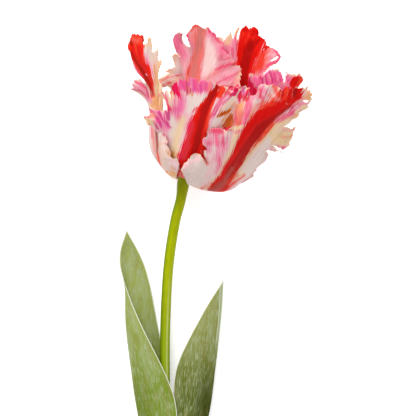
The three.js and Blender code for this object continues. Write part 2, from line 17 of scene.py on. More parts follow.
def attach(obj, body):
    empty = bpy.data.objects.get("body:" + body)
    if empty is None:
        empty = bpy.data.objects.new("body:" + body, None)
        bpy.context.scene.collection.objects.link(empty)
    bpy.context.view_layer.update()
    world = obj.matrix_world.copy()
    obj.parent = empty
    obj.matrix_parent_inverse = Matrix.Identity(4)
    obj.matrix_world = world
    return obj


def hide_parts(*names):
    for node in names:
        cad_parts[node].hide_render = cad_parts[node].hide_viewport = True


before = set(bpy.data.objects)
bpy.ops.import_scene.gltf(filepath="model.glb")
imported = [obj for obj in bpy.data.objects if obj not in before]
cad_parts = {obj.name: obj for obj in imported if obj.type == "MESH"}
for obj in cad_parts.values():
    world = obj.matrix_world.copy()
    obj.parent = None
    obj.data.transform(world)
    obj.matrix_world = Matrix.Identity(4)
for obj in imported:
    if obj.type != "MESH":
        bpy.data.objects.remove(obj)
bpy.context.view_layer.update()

bl_info = {
    "name": "Parrot Tulip",
    "version": (1, 0, 0),
    "blender": (4, 5, 0),
    "location": "View3D > Sidebar > Tulip",
    "description": "Builds a cut parrot tulip with its stem, leaves, tepals, pistil and stamens",
    "category": "Add Mesh",
}

MM = 0.001
WHITE_LIGHT = (1.0, 1.0, 1.0, 1.0)


def linear(code):
    """Linear colour of an sRGB hex value such as #C4120F."""
    channels = [int(code[i:i + 2], 16) / 255 for i in (1, 3, 5)]
    return tuple(c / 12.92 if c <= 0.04045 else ((c + 0.055) / 1.055) ** 2.4 for c in channels)


def points_of(text):
    """Points whose coordinates stand between spaces, with commas between the points."""
    return [tuple(map(float, point.split())) for point in text.split(",")]


def paths_of(text):
    """Paths of points, with semicolons between the paths."""
    return [points_of(path) for path in text.split(";")]


def paints_of(text):
    """Paints with bars between them; each is its hue, softness, feathering and strength, then strokes."""
    paints = []
    for paint in text.split("|"):
        look, strokes = paint.split(":")
        hue, *numbers = look.split()
        paints.append((hue, *map(float, numbers), paths_of(strokes)))
    return paints


# ---------------------------------------------------------------- the flower's measured shape

# The receptacle is the stem's swollen top, which carries everything in the bloom
RECEPTACLE_TOP = np.array([-19.9, 102.6, 24.6])
BLOOM_AXIS = np.array([0.33, 0.86, 0.38]) / math.hypot(0.33, 0.86, 0.38)
BLOOM_RIGHT = np.array([1.0, 0.0, 0.0]) - BLOOM_AXIS[0] * BLOOM_AXIS
BLOOM_RIGHT /= np.linalg.norm(BLOOM_RIGHT)
BLOOM_FRONT = np.cross(BLOOM_RIGHT, BLOOM_AXIS)

# Each tepal is a fan of veins from its left margin to its right one. Its seat on the receptacle is the
# degrees of its first and last vein round the bloom's axis, the radius and the height. Fringe, ruffle and
# pleat are shares of the settings' sizes. The rim, and the outline of a hole after the vein it lies on,
# are x and y as seen from above. Paints are laid in order; feathering is in mm, and a stroke's points are
# x, y and half width as seen from above. The base hue streaks the ground hue.
TEPALS = {
    "petal_front_right": {
        "slot": "petal_outer", "base": "blush", "ground": "white",
        "seat": (80, 16, 5.0, -3.3), "fringe": 0.8, "ruffle": 1.0, "pleat": 0.7,
        "veins": paths_of("""
        -17.5 94 39, -18.5 94 47, -20.3 97.5 52.5, -21.8 101.5 56, -23 105.5 57.5;
        -13.5 92 41, -12.3 94.5 51, -12.6 101 58, -13.3 108 62.5, -14.5 114.5 65;
        -9 90.5 42, -5 95.5 54, -4 107.5 63.5, -4 119.5 69.5, -3.5 131 74;
        -4.5 89.8 42.5, 2 96.5 54.5, 8 112.5 66, 12 130 75, 16 148 80;
        -2 89.6 42, 6.5 98 54, 16 116 66, 25 137 75.5, 34 160.5 80;
        .5 89.4 41.5, 11 101.5 52.5, 23.5 119.5 64, 37 137.5 72.5, 54 158 76;
        2.6 89.3 40.2, 14.2 101.2 50.3, 27.5 118 60.8, 41.5 135 68.7, 61.5 155 71;
        4.2 89.2 39, 17 101 48, 31 116.2 57.3, 44 130.5 63.5, 61.5 144 65.5;
        5.2 89.4 38, 18.3 100.6 46.3, 31.8 114.3 54.5, 43.5 126.5 59.5, 54.5 137.5 61;
        6 89.6 36.9, 19.3 100.2 44, 31.8 111.8 50.6, 42.2 121.8 55.2, 52 131.5 57;
        6.8 89.9 35.5, 19.6 99.3 41.6, 30.5 108.5 46.8, 39.5 116 50.6, 48.5 122 52.5;
        7.3 90.3 34, 18.8 97.8 38.6, 27.6 104.6 43, 35 110.8 46.4, 43.5 116 48.5;
        7.7 90.8 32.5, 17 96 36, 23 100.3 39, 28.5 105 41.5, 34.5 112 43.5;
        8 91.2 31, 15.4 94.8 33.4, 19.6 97.6 35.2, 23.4 100.4 36.8, 28 104.8 38.4;
        8 91.5 30, 14 93.8 31.4, 17.4 95.2 32.5, 20.4 96.6 33.4, 24.8 98.6 34.4"""),
        "rim": points_of("""
        -20.3 96, -21.6 99.5, -22.8 104, -21.4 106, -20.8 108, -19.4 108.6, -18.7 110.4, -17.7 110.4, -16.9
        112.3, -15 114, -12 113.2, -9.4 112.6, -7.2 109.6, -5 107.4, -6.6 111, -8.2 114.2, -7.8 117, -6
        116.6, -6.6 118.8, -8.8 120.8, -9 123, -8 124.8, -5.8 125.8, -5.2 129, -3.6 130.6, 1 130.9, 4.6
        130.6, 6.4 129.8, 8.4 131, 11 131.9, 12.2 134, 11.4 139, 11.6 143.5, 13.2 146, 16.2 147.2, 19 150,
        22 151.4, 25 152.6, 26.6 155, 27.2 158.6, 29 160.4, 33 160.2, 37.6 160.4, 39.6 158.8, 43.2 156.6,
        44.6 158.6, 47 159.2, 48.6 158, 51 159.2, 53.6 158.8, 54.4 157.4, 57 158.2, 58.4 156.6, 60.2 158.8,
        60.4 156.2, 62.6 156.2, 61.8 154.4, 63.6 153.2, 62.4 151.6, 63.8 151, 62.2 148, 60.6 145.8, 62.2
        143.2, 58 142, 55.2 140.6, 54.6 137.6, 50.6 135.8, 48 133.2, 45 130.9, 49 130.8, 52.6 132.8, 50.8
        129.4, 49.8 125, 47.8 122.4, 48.4 120.6, 45.8 119, 43.6 117.5, 40.4 119.1, 36.6 118.8, 40 116.6,
        43.6 115.7, 38 116.2, 33 115.4, 32 114.6, 34.6 114.2, 32.6 110.8, 29.8 107, 27 105, 25.2 103.4, 26.3
        102.4, 24.8 98.4, 20.5 97, 17.5 97.4"""),
        "holes": [(6.5, points_of("57.4 149.3, 59 149.9, 61 149.4, 60.4 148, 58.6 147.8"))],
        "paints": paints_of("""
        cream 2.2 1.2 .95: -13 90.5 .8, -4 93 1.6, 1 98 1.5, 5 105 1.6, 8.5 113 1.9, 11.5 121 2, 14 128 1.6,
        16.5 134 .8; 9 98.5 1.4, 13 104 1.8, 18 110 2, 24 117.5 2.2, 30 124 2.6, 37 130 3.6, 45 136 3.4, 53
        139 2; 37 124 4, 44 125 5, 50 128 3; 12 97.5 1.6, 17 101.5 2 |
        white 1.9 1 .95: 20 102.5 3, 24 107 3.4, 28 112 3.2, 32 118.5 2.6, 35 124 1.6; -14 100 7, -8 108 3;
        34 151 1, 35.6 155 1.6 |
        pink 1.9 1.6 .95: -7 122 2, -3.5 124 2.6, -3.5 117 2; 0 126 3, 1.5 116 2.2, 1.8 107 1.2, 0 101.5 .5;
        4 122 2.4, 4.6 113 1.2; 8 125.5 1.2, 6.8 117 1; 18 133 1.5, 20 140 3, 22.5 147 3; 23 150 2.6, 27 154
        3, 32 156 2.6; 29 150.6 1.4, 33 152.4 1.6; 50 141.5 2.2, 56 145 2.2, 58 149 1.6; 27 151 2.4, 30 157
        3 |
        rose 1.3 .9 .85: -1.8 129 2.4, 3 129 2; 0 126.5 1.2, .6 120 .7; 4.8 125 .8, 5.2 119 .6; -4.8 121.8
        1, -4.4 120.8 .8; 2.4 112 .5, 2.2 107 .5, 0 101.5 .5; -9.5 91 .5, -5 94.6 .4; 13 128.1 .5, 16.6
        129.4 .6; 13.4 133.4 .35, 13.8 140 .4; 15.8 133 .4, 16.4 139.6 .5, 17 145 .4; 17.8 134 .4, 19 141
        .4, 20.8 148 .4; 40 136.3 1.5, 45 138.4 2.2, 51 141.2 1.4; 20 137 .9, 21.6 143 .9; 23.6 139 .6, 24.6
        145 .7; 41 118.7 .9, 44.4 118.3 1.4; 28.6 157 1, 29.4 151.5 1.3; 32 157.4 .6, 32.6 154 .5; 35.6
        115.8 .4, 43 116 .4 |
        coral 1.6 1 .95: 12.8 132.6 1, 14.2 137 2.6, 14.8 142 2.6; 43.5 125.4 .5, 49.5 126.6 .5; 45.4 129.6
        .4, 50.5 131 .5; 38.4 159 1.4, 40 154 2, 42 150 2; 27 153 .5, 26.6 158 .5; 34.4 153.4 1, 37 150.6
        1.4; 26 146 1.2, 32 148.6 1.2, 37 150.4 1; 53 147.6 1.2, 57 151.4 1.6, 59.6 154 1.2 |
        coral 1.9 1 .9: 15.4 148 2, 16.8 141 2.2 |
        cherry .9 .8 .75: 14.6 151.4 1.2, 17.6 149.6 1.6, 20.6 150.4 1.6; 50 145 1.4, 54.4 147.8 1.4; 7.2
        130.6 1, 10 130 1 |
        scarlet 1.4 1 .6: 13.2 146 1.2, 14.4 139.5 2.2, 15 132.6 1.8; 38.6 158.6 1, 40 153.6 1.6, 42 150 1.4
        |
        rose 1.4 .9 .7: 22.4 148.4 1.2, 22 144 1.6, 20.4 138.4 1; -1.8 129.6 1.6, 2.6 129.4 1.6; 46 142.4
        .9, 51 145.4 1.2, 54.6 147.8 .9 |
        cherry 1 1 .35: -2 129.4 1.4, 3 129.2 1.3 |
        cherry .8 .8 .65: 17.2 148 1, 20.2 150.6 1.6, 22.6 152.4 1; 28.2 157 .8, 28.8 152 1 |
        scarlet 1.6 1 .55: 15.4 146.4 1.2, 17.6 144.6 1; 22.6 139 1.2, 25.6 143.4 1.6, 31 148 1.6; 36 146.6
        2, 41 150.6 2 |
        rose 1.3 .45 .6: 4.8 127.6 .8, 4.6 122 .7; -6 112 .5, -4.6 108 .5 |
        apricot 1.4 1 .95: 14 140.6 1.4, 15.4 144.6 2.2, 17.4 147 1; 25.8 148 .9, 24.4 143 .7, 22.8 138 .6;
        59.5 151.5 2.2, 61.6 154.6 2.4; 53 138.4 1, 54.4 139 .8 |
        cream .7 .6 .9: 10.8 130.7 .8, 14 131.2 .8, 18 132 .7; 58 144.4 1.6, 61.4 143.2 1; 53 141 .6, 55 143
        .6 |
        scarlet .7 1 .95: 32 145.6 1.8, 38 149.4 2.6, 44 152.5 2.6, 47 157 3; 5 90.5 1.8, 11 94.7 1.3, 15
        97.6 1, 18.4 100 .7; 9.6 97 .5, 14.6 99.8 .5; -9.6 113 .5, -7.6 111 .5, -5.2 107.6 .4 |
        flame .7 .9 1: 0 90 5.4, 5.5 97.5 4.6, 10.5 105.8 4.7, 15 114 5.2, 19.8 122 6, 26 131 7.1, 31 137.6
        7.3, 38 143 6, 45 148 5, 51.5 153 5.4, 54.5 156 3; 44 156 1.4, 50 157.5 2.4 |
        scarlet .6 .8 .9: 8 95.2 1.6, 12.6 101 .9; 22.4 115.4 .5, 27.4 121.4 .9, 31.6 126.4 1.3, 35.4 131.6
        1.6, 37.6 135 .9; 29 144.4 1.4, 33 146.4 1.6, 38.4 147.6 1; 46.6 156.8 1.4, 45.4 150.4 1.4 |
        core .9 .8 .85: 8 100 2.2, 14 108.4 2.6, 19.4 116.4 2.8, 24.4 124 3, 29.6 130.6 2.8, 35.6 135.6 1.9,
        42 140.3 1.3, 49.6 145.4 .9; 51.6 156.6 .8, 52.4 151.5 .9 |
        dusk 1 .8 .8: -3 90.2 1.6, 2.4 93.2 2.6, 7.4 98.6 1.7, 11 104 .8 |
        coral .3 .15 .8: 42.2 152 .2, 43 158 .3; 45.4 148.4 .2, 46.4 147 .3, 47.8 147.4 .25; 49.8 151 .2,
        50.4 157.6 .25; 46.6 152.4 .2, 47.2 157.6 .2 |
        core .3 .15 .8: 43.8 152 .2, 44.4 158 .3; 51.6 150 .25, 53.4 156 .3 |
        coral 1.3 .8 .8: 11 142 1.2, 11.6 136 1.6; 15 143.6 1, 15.4 137 1.6; 39 150.6 1.2, 41.6 150 1 |
        rose .4 .25 .7: 13 143 .4, 13 136 .5"""),
    },
    "petal_front": {
        "slot": "petal_inner", "base": "blush", "ground": "white",
        "seat": (131, 75, 5.0, -0.35), "fringe": 0.9, "ruffle": 1.0, "pleat": 0.9,
        "veins": paths_of("""
        -31 104.5 33.5, -34.6 112 38.5, -34.6 118.5 43.6, -35.8 125 50, -43 132 55;
        -30 103.5 35.5, -34.3 113.5 43.5, -35.2 123 49.8, -39 132 56, -48 137.5 58.5;
        -29.3 102.8 36.8, -33 113 45.8, -34.5 124.5 52.2, -36 134 57.5, -42.5 142.8 60;
        -28.5 102 38, -31.5 112.5 48, -32 126 55.5, -31.5 139 62, -33.5 153 66;
        -27 101 39.5, -28.5 111.5 51, -26.5 127 60.5, -24.5 145 69.5, -25.5 162 75;
        -25.3 100.2 41.3, -25.2 109.5 54.3, -20.8 125.5 64, -15 145 73, -11 163.5 80;
        -23.5 99.3 41.8, -21.5 107.5 54.8, -15.5 121.5 64.6, -8 139.5 75, 1.5 160.5 84;
        -21.2 98.4 41.8, -17.5 105 54.6, -10 118 63.8, -1 136.5 75.5, 10 157.5 83.5;
        -19.6 98 41.5, -14.8 103.8 54, -6.5 116 62.8, 4.5 136 73.2, 21.5 158.5 80.5;
        -18.6 97.8 41.3, -13 103 53.3, -5 114 62.3, 4.5 129.5 70.5, 19 149.5 78.5;
        -17.5 97.5 41, -11.5 102.5 52.3, -4.6 111.5 61, 1.6 124 67.6, 10.5 141.5 73.8;
        -16.4 97.2 40.6, -10.5 101.8 51.5, -4.8 108.8 58.5, -.8 118.5 64.6, 4 131 69.5;
        -15 97 40, -9 101 50.5, -5 106 56, -2.5 111 59.5, -.5 117 62.5"""),
        "rim": points_of("""
        -43.5 131.6, -46.6 134.8, -48.2 137.3, -45 139, -43 140.5, -41 141.2, -44 142.4, -43.6 144, -40
        142.6, -36 142.4, -33 143, -30.8 143.2, -31 146, -32.2 148.2, -34 149.6, -36.2 151, -36.4 154.4,
        -35.2 155.3, -33.8 153.2, -33.2 155.6, -32 156.8, -30.6 156.2, -29.8 152.8, -29.1 150.4, -28.8
        151.8, -29.9 155.2, -28.8 156, -27.6 154.8, -26.9 152.6, -26.2 150.8, -27.2 154, -28.8 158, -27.6
        160.6, -25.4 161.6, -24.8 164.4, -22.8 162.6, -20.4 162.6, -19 160.6, -18 164, -14.6 164.3, -12.6
        163.2, -10.8 160.8, -9.6 162.6, -7 163, -6 161.2, -4.2 162, -2.4 162.8, -1.4 160.8, .6 160.8, 1.8
        158.8, 3 160.2, 4.8 158.2, 7.4 158.2, 8.8 156.2, 10 154.4, 12.6 158.6, 14.4 157.8, 16.2 157, 17.6
        158.4, 20.8 157.6, 21.6 154, 21.2 150.2, 19.4 150.4, 17.6 148.2, 15.8 147.4, 14.8 151, 12.6 150.4,
        13.2 147.4, 11.4 145.4, 8 143.9, 4.4 142, 1 138.5, 4.8 139.4, 8.4 141.2, 10.2 142.4, 10 140, 7.4
        137.8, 4.6 134.4, 5.2 131.4, 2 128, -1 122, -3 117"""),
        "holes": [],
        # Painted shade: the umber and flame strokes near x 1 to 10, y 131 to 144, are a dark slit where the
        # shaded cup shows through
        "paints": paints_of("""
        pink 2.2 1.6 .95: -30 130 2.4, -35 135 5, -40 140 4; -26 141 4, -23.5 146 4.4, -24 151.5 3.6; -3 132
        1.2, -1.5 140 1.6, 2.4 148 2, 8 153 2; -33.4 127 1.6, -31.6 122 1; -19 139 1, -20 131 1.2 |
        white 1.9 1 .95: -17 143.5 2, -14.6 147.4 3.8, -9.8 150 2.8, -7 151.8 1; -28 127 2.4, -27.6 133 1.8,
        -28.4 138 1; 4 146 2.6, 8 149 2.2; -2 134 1.6, 1.5 137.4 1.8 |
        rose 1.9 1.2 .85: -23.4 138.6 2, -22.6 134 1.2; -27.8 148.6 1, -26.8 144 1.4; -33 154 .8, -31.6
        149.6 .9 |
        scarlet .4 .2 .7: -35.8 154.8 .5, -33.6 152 .6, -32 149.8 .5 |
        umber .5 .2 .6: -30 155.4 .4, -28.4 154.2 .6, -28.6 151 .5 |
        violet 1.6 1.2 .85: -24.6 143 2.2, -23.6 149 2.2; -38.6 137 .9, -35.8 131.8 .8; -37.4 140.8 1, -31
        132.4 .8 |
        magenta .5 .6 .9: -41.4 135.4 1, -38.4 131 .9; -39.8 138.6 .6, -36 132.6 .5; -37.8 141 .8, -34.4
        136.8 .7, -29.4 131.6 .6; -31.8 141.2 2, -30.8 137 1; -34.6 139.8 .5, -30.2 133 .5; -43.8 142.6 .7,
        -41 140.6 .7 |
        pearl 1.9 .9 .9: -4 131 1.8, 0 134 3, 4 138 2.4; 1 141 1.6, 6 146 3.2, 10.6 150 3 |
        pink 1.6 1 .8: -3 138.4 1.2, .6 143.4 1.5, 5 149.6 1.5, 8.6 153.4 1.6; -5 129.6 .8, -3.4 135 .9; 5
        133.4 .5, 9 138 .6 |
        cream 1.4 .8 .5: 3.4 142.4 1, 8 146.6 2, 12 150.6 1.6; 4.6 134.4 1, 8 138.6 1.4, 11 141.8 .9 |
        cream 1.9 1 .95: -46.4 135.2 3, -43.4 133 2, -42.6 139 1; -28.6 110 2, -27 117 2.8, -25.6 124 2.4,
        -23.8 130.6 2.2, -21.6 137 2; -28.6 152 1, -29.2 147 .8; 5 141.4 1.2, 9 144 1.2; 5.6 134.6 1.2, 8.4
        138 1 |
        apricot 1.4 .8 .9: -28.8 111.6 1.7, -28 115 1; -28.8 156.5 .7, -28.6 151 .7; 4.6 136 .35, 8.4 140.4
        .45; 8.6 143.8 .4, 12.4 148 .5 |
        rose .6 .35 .85: -47.4 138 .7, -44.4 138.4 .8; -34 127 .4, -31.4 121.6 .5; -1.6 139.4 .35, 3.4 145.6
        .4, 9.6 151.6 .5; -2.8 139 .4, -.6 144.6 .5, 4 150.4 .6, 8.4 154.6 1; 5.4 135 .3, 10 140.4 .35;
        -32.6 154 .5, -30.6 148 .6, -29.8 144 .8; -27 150 .5, -26.4 146 .5; .6 139 .3, 4 143.8 .35 |
        violet 1.9 1 1: -22.4 159 4, -17 159.4 5.6, -10 159.6 5.4, -5 158.8 4 |
        magenta .5 .6 .7: -22.6 161.6 1.4, -20.6 157 1; -14.6 162.6 .5, -13.8 155.6 .7; -10.4 161.4 .5, -9.6
        155.4 .6; -6.4 161 .4, -5.8 156.4 .5; -18.8 161 .4, -18.4 154 .5 |
        pink .6 .3 .8: -16.6 163 .6, -16.2 157 .6; -12 163.4 .4, -11.6 158 .4; -7.8 162 .4, -7.4 157.6 .4 |
        coral 1.3 .8 .9: -3.6 161 1, -3.8 157 1.4, -4.6 153.6 .8; -17.8 157.6 .5, -18 153 .5; -24.8 149.6
        .4, -25 146.4 .4 |
        amber .4 .15 .9: -16.1 154 .6, -15.9 152.4 .6 |
        amber 1 .3 .6: -28.8 111.4 .7, -27.6 114.8 .6 |
        crimson .5 .6 1: -28.4 160 2.2, -26.4 156.4 2.2, -24.6 152.6 1.3, -24 150.6 .7; 9.6 152.6 .9, 11.8
        154 1.6, 13 156.8 1.4; 15.6 147.8 1, 15.6 152 1.4, 16.4 155 .8; 18.6 149.6 .8, 20.6 152.6 1.4, 21
        156.4 .9; -16 141 .5, -13 144.4 .4 |
        rose 1.4 1 .65: -21.4 161.4 1.6, -20.6 156 1.2; -13.4 162 1.6, -12.4 156 1.4; -7.6 161 1.2, -6.8 157
        1 |
        dusk .5 .2 .85: -19.4 162.8 .3, -18.9 153 .45; -17 157 .3, -16.9 153.6 .35 |
        violet .6 .6 .9: 17.8 151 .6, 18.4 154.4 1.2, 18 157.6 1.4 |
        scarlet .6 .7 1: 2 153 2.2, 4.4 155.6 2.8, 2.6 157.4 2; 8 156.4 .7, 6.4 153 .6; -23.6 96.6 3, -23.4
        102.4 2 |
        crimson .5 .3 .7: -29.6 143.6 .8, -30.2 146.6 .7 |
        ruby .5 .8 1: -23 105 1.4, -22.2 108.6 3.2, -19.6 113 5.2, -16.2 117 7.2, -14 122 7, -12.6 128 6.1,
        -11.2 134 6, -8.8 140.6 4.7, -5.8 146.6 3.5, -2.6 152 2.6, .6 157 2.2, 1.6 160.2 1.8 |
        cherry .8 .9 .8: -20.8 112 2.4, -19.4 119 2.6, -17.6 127 1.8, -15.4 134 1.4 |
        crimson .8 .4 .75: -24.4 110 .7, -22.4 118 .7, -19.6 126.6 .9, -17.6 134 1.1, -15.6 139.4 .7 |
        scarlet .7 .45 .8: -8.4 117 1, -7.8 125 .9, -6.4 132 1.1, -4.6 139 1.1, -2.6 146.4 .9, -1 150.4 .6 |
        flame .6 .8 .95: -6.6 128.6 .7, -6.6 122 1.9, -8 115 2.6, -9.6 108 2 |
        umber .5 .4 1: .8 138.7 .5, 4.4 140.6 1.4, 7.6 142.2 1.2, 9.8 143.6 .4; 5 131.8 .8, 8 135.8 1.2,
        10.4 139.4 .8 |
        flame .5 .2 .9: 5.4 131 .7, 9 131.4 .8; 2.8 139.9 .25, 6.6 141.8 .4 |
        pearl .4 .15 .9: 10.2 136.8 .25, 10.9 132.6 .35 |
        magenta .5 .25 .75: -.9 139.6 .35, 1.5 145.5 .4, 7.5 150.3 .5, 12.3 154.6 .6 |
        core .8 .8 .9: -14.6 113.4 2, -13 120 2.3, -11.8 127 2.4, -9.8 135 2.4, -7.6 142 2.2, -4.6 148.8
        1.6, -1.4 154.4 1.4, 1.4 159.2 1.2 |
        coral 1.3 .8 .8: -23.8 101 1, -23.2 97 1.6, -22.6 93 1.8; -44.4 138 1, -41.4 139 1.2 |
        cherry .8 .8 .75: 6.6 156 1, 9.2 153.6 1.2; 15.4 152 1.2, 19.4 151 1.6 |
        flame .5 .25 .9: -10.4 117 1, -11.8 113 1 |
        apricot .6 .25 .8: -36 151.6 .7, -33 149.6 .7, -31.4 146 .4"""),
    },
    "petal_left": {
        "slot": "petal_outer", "base": "blush", "ground": "white",
        "seat": (199, 131, 5.3, -3.1), "fringe": 0.7, "ruffle": 0.8, "pleat": 0.6,
        "veins": paths_of("""
        -28.5 110.5 14, -31 118 8, -32.2 124 6.5, -33 130 6.8, -33.8 135 8.5, -34.8 140 11.5, -36.2 144.5
        15, -38 149 18;
        -33.5 107.5 20, -40.5 114.5 17, -43 121 17.2, -43.6 128 20, -43.4 134 24, -43 140 29, -43.3 146 34,
        -47 152 38.5;
        -34 105.5 25, -41.5 113.5 24.5, -43.8 121.5 26, -44 130 30, -43.5 138 35, -43.5 145 40, -47.5 152
        43.5, -56.5 157 46;
        -34 104.8 26.5, -41 112.8 28, -43.2 122 30.5, -43.3 131.5 35, -43.1 140.5 40.5, -43.3 148.5 45, -47
        156 48, -55 163.5 49;
        -33.5 103.8 28.5, -40 111.8 32, -42.2 123 36, -42.8 135 41, -43 147 46.5, -45.5 159.5 50.5, -53.8
        171.5 53, -58.2 187 55;
        -33 102.8 30, -39.2 111.2 35, -41.2 122.6 39, -42 135 43.5, -41.8 147 48.5, -43.2 159 52.5, -49
        171.5 55.5, -55.5 194.5 58;
        -32.3 101.5 32, -38 110.5 38, -40.2 122.5 41.6, -40.8 135 45.5, -40 147 50, -40.8 158 54.5, -45
        171.5 58.5, -48 194.5 62;
        -31.3 100.6 33.2, -37 109.3 40, -39.6 121 43.5, -39.5 134.5 47, -37.8 147 51, -39 158 55, -41.2
        171.5 58.5, -43 191 60;
        -30.5 100 34.3, -36 108.2 41.8, -38.8 119.8 45, -38.8 134 48, -35 146 51, -36 157 54.5, -37.5 169
        57, -36 182 57.5;
        -28.9 98.7 36.6, -32.5 104.6 46.3, -34 109.2 48.9, -34.8 112.5 50.5, -35.2 115.2 51.7, -35.4 120.4
        52.8, -35.1 126 53.9, -34.6 132.5 54.8;
        -27.3 98 38.5, -28.7 101.5 47.5, -29.3 104.5 51, -29.8 108 53.2, -30.1 111.5 54.7, -30.3 115 55.9,
        -30.9 121 56.9, -31.4 126.5 57.8;
        -25.7 97.5 39.5, -26 99.3 47, -25.4 101.2 50.6, -24.7 103 52.8, -24.4 104.8 54.3, -24.5 106.8 55.7,
        -25 108.8 56.7, -25.8 111 57.5"""),
        "rim": points_of("""
        -38 148.6, -43.4 147.6, -46 151.5, -49 154, -52 155.2, -55.2 155.9, -56.2 157, -54.8 158.2, -56
        160.6, -54.2 161.2, -53.9 163, -51.8 163.2, -48 160.6, -45 158, -46.4 161.4, -50 166, -53.5 170,
        -54.8 174.5, -56.4 178.6, -57.7 182, -58.4 186, -57.3 189, -55.9 191, -55.7 194, -54.2 193, -53.2
        193.9, -52 192, -51 193.9, -49.9 192.8, -48.6 193.9, -47.4 191, -47 189, -47.4 186, -46 187.2, -45.6
        189.6, -43.8 191.1, -42.2 190.6, -42.6 187, -41.6 184.6, -42 181.6, -41 180.2, -39.6 182.3, -37.6
        182.1, -38.4 178, -37.4 175.8, -35.7 174.6, -36.6 172, -37.8 167, -38.4 163, -37 160.6, -35.4 157,
        -34.8 152, -34.4 146, -35.2 140, -36.6 135, -37 131.4, -35.4 128.8, -33.6 126.2, -32.3 124, -31.4
        121.6, -32.4 119.8, -31 117.6, -30 115.2, -29.8 112.4, -28.4 110.6, -26 110.6, -25.2 108"""),
        "holes": [],
        "paints": paints_of("""
        cream 1.9 1.2 .95: -39 142 5, -38.4 152 4.6, -38.6 160 2.6, -38 166 2.4, -38 174 2; -44 187 1.8, -42
        178 2.6; -31.8 115.6 1.2, -29.4 118 1; -34 101.6 2, -29 100.4 3, -26 99.6 1.6; -53 155.4 .8, -47.4
        152.4 .8 |
        white 1.9 1 .95: -34 106 3.4, -34.4 112 3.6, -35 120 2.8, -36.4 127 2; -43.2 112 1.6, -43.6 122 1.4,
        -43.4 131 1; -44 183 1.6, -43 176 1.8, -40 180 1; -54 160.4 1, -49.6 158.4 1 |
        apricot 3.8 2 .3: -35 97 3, -36 108 4, -37.6 120 4 |
        dusk 1.4 1.2 .3: -39.4 124 1.6, -38.8 116 1.8, -38 109 1.4 |
        apricot 1.4 .9 .9: -40.6 172.6 .9, -39.8 166 1.1, -40 160 1; -43.4 190 .8, -45.6 188 .7; -41.6 146.6
        1.8, -39.4 150.6 2.4, -37.6 144 2; -32 99.6 1.6, -28.6 101 2; -36.4 174.6 .7, -38 169.4 .5 |
        pink 1.3 1 .95: -53.6 158.6 1.6, -49 157.8 2, -45.4 154 1.8, -43.4 149 1; -55 175 1.2, -51.4 168.4
        1.2, -46.6 161.4 .8; -46.6 181 .9, -44.6 173 1.3, -42.4 167 1, -41.6 161 .7 |
        rose .5 .3 .9: -55.4 157.2 .5, -50 156.3 .6, -45.6 152.4 .5; -54.2 162.4 .5, -49.8 160.2 .7, -45.8
        156.8 .7, -43.4 150.4 .5; -55.2 177.6 .7, -52.6 171 .8, -47.8 163.8 .6; -46.9 178.6 .6, -45.2 173.4
        .5; -42.1 132 .5, -41.8 124.6 .5; -38.4 156.4 .3, -36.8 152 .4; -43.6 143.6 1, -41 140.4 1.2, -37
        139.6 1 |
        coral .6 .3 .85: -41 130.6 .6, -40.8 122 .6, -40 116 .5; -36.4 154.4 .4, -35 151.6 .4 |
        scarlet .5 .25 .95: -38.6 115.6 .6, -37 108.4 .8, -35.4 104 .7; -33.2 100 .5, -31.8 103 .4; -31 98.3
        .5, -26.4 97.4 .6 |
        rose .5 .15 .8: -36 120.8 .25, -33 120.4 .3, -31.2 121.4 .6; -31.4 118 .3, -30.6 113.6 .3 |
        apricot .5 .15 .8: -37 120.6 .5, -35.4 120.4 .5; -32.4 116 .5, -29.6 112.6 .6; -29.4 106 .6, -27.6
        104 .6 |
        dusk .5 .2 .95: -39.4 132 .6, -38.9 126 .9, -38.3 120 .9, -38.6 115 .5 |
        scarlet .6 .9 1: -41.1 151.6 .6, -41.8 156 1.6, -43.3 161.8 2.6, -45.9 167.6 3.4, -49.4 173 4, -52
        178.6 5.4, -52.6 184.6 6.2, -52 190 5.6, -51.6 196 5.6 |
        amber .9 .4 .5: -40.4 172 .7, -39.6 165.4 .9 |
        coral 1.6 .8 .5: -54.4 189.6 1.4, -51.6 188.6 1.4, -49.2 189.6 1 |
        ruby .9 .9 .95: -41.2 153 .8, -42.4 159 1.2, -44.4 164.6 1.5, -47 171 2.2, -48.8 176 2.8, -49.4 181
        2.6, -50.4 185 2; -55 184.6 2.2, -54 179 2.2 |
        core .4 .2 .7: -55.6 193.6 .5, -54.6 191.4 .3; -52 192 .4, -51.8 190 .3; -48.4 193.6 .5, -48 190 .4,
        -47.6 186 .3 |
        core .6 .3 .9: -41.5 152.4 .5, -43.2 157.6 .7, -45.8 163.4 .9, -49.2 169.4 1, -53 175 1, -56.4 181
        .7; -56.2 188 .7, -55.8 186 .9 |
        blush .4 .15 .9: -45.9 166.4 .6, -45.3 166 .6 |
        scarlet .8 .4 .7: -47.2 180 1, -46.6 176 1"""),
    },
    "petal_back_left": {
        "slot": "petal_inner", "base": "blush", "ground": "blush",
        "seat": (199, 251, 5.0, -0.35), "fringe": 0.9, "ruffle": 1.0, "pleat": 0.45,
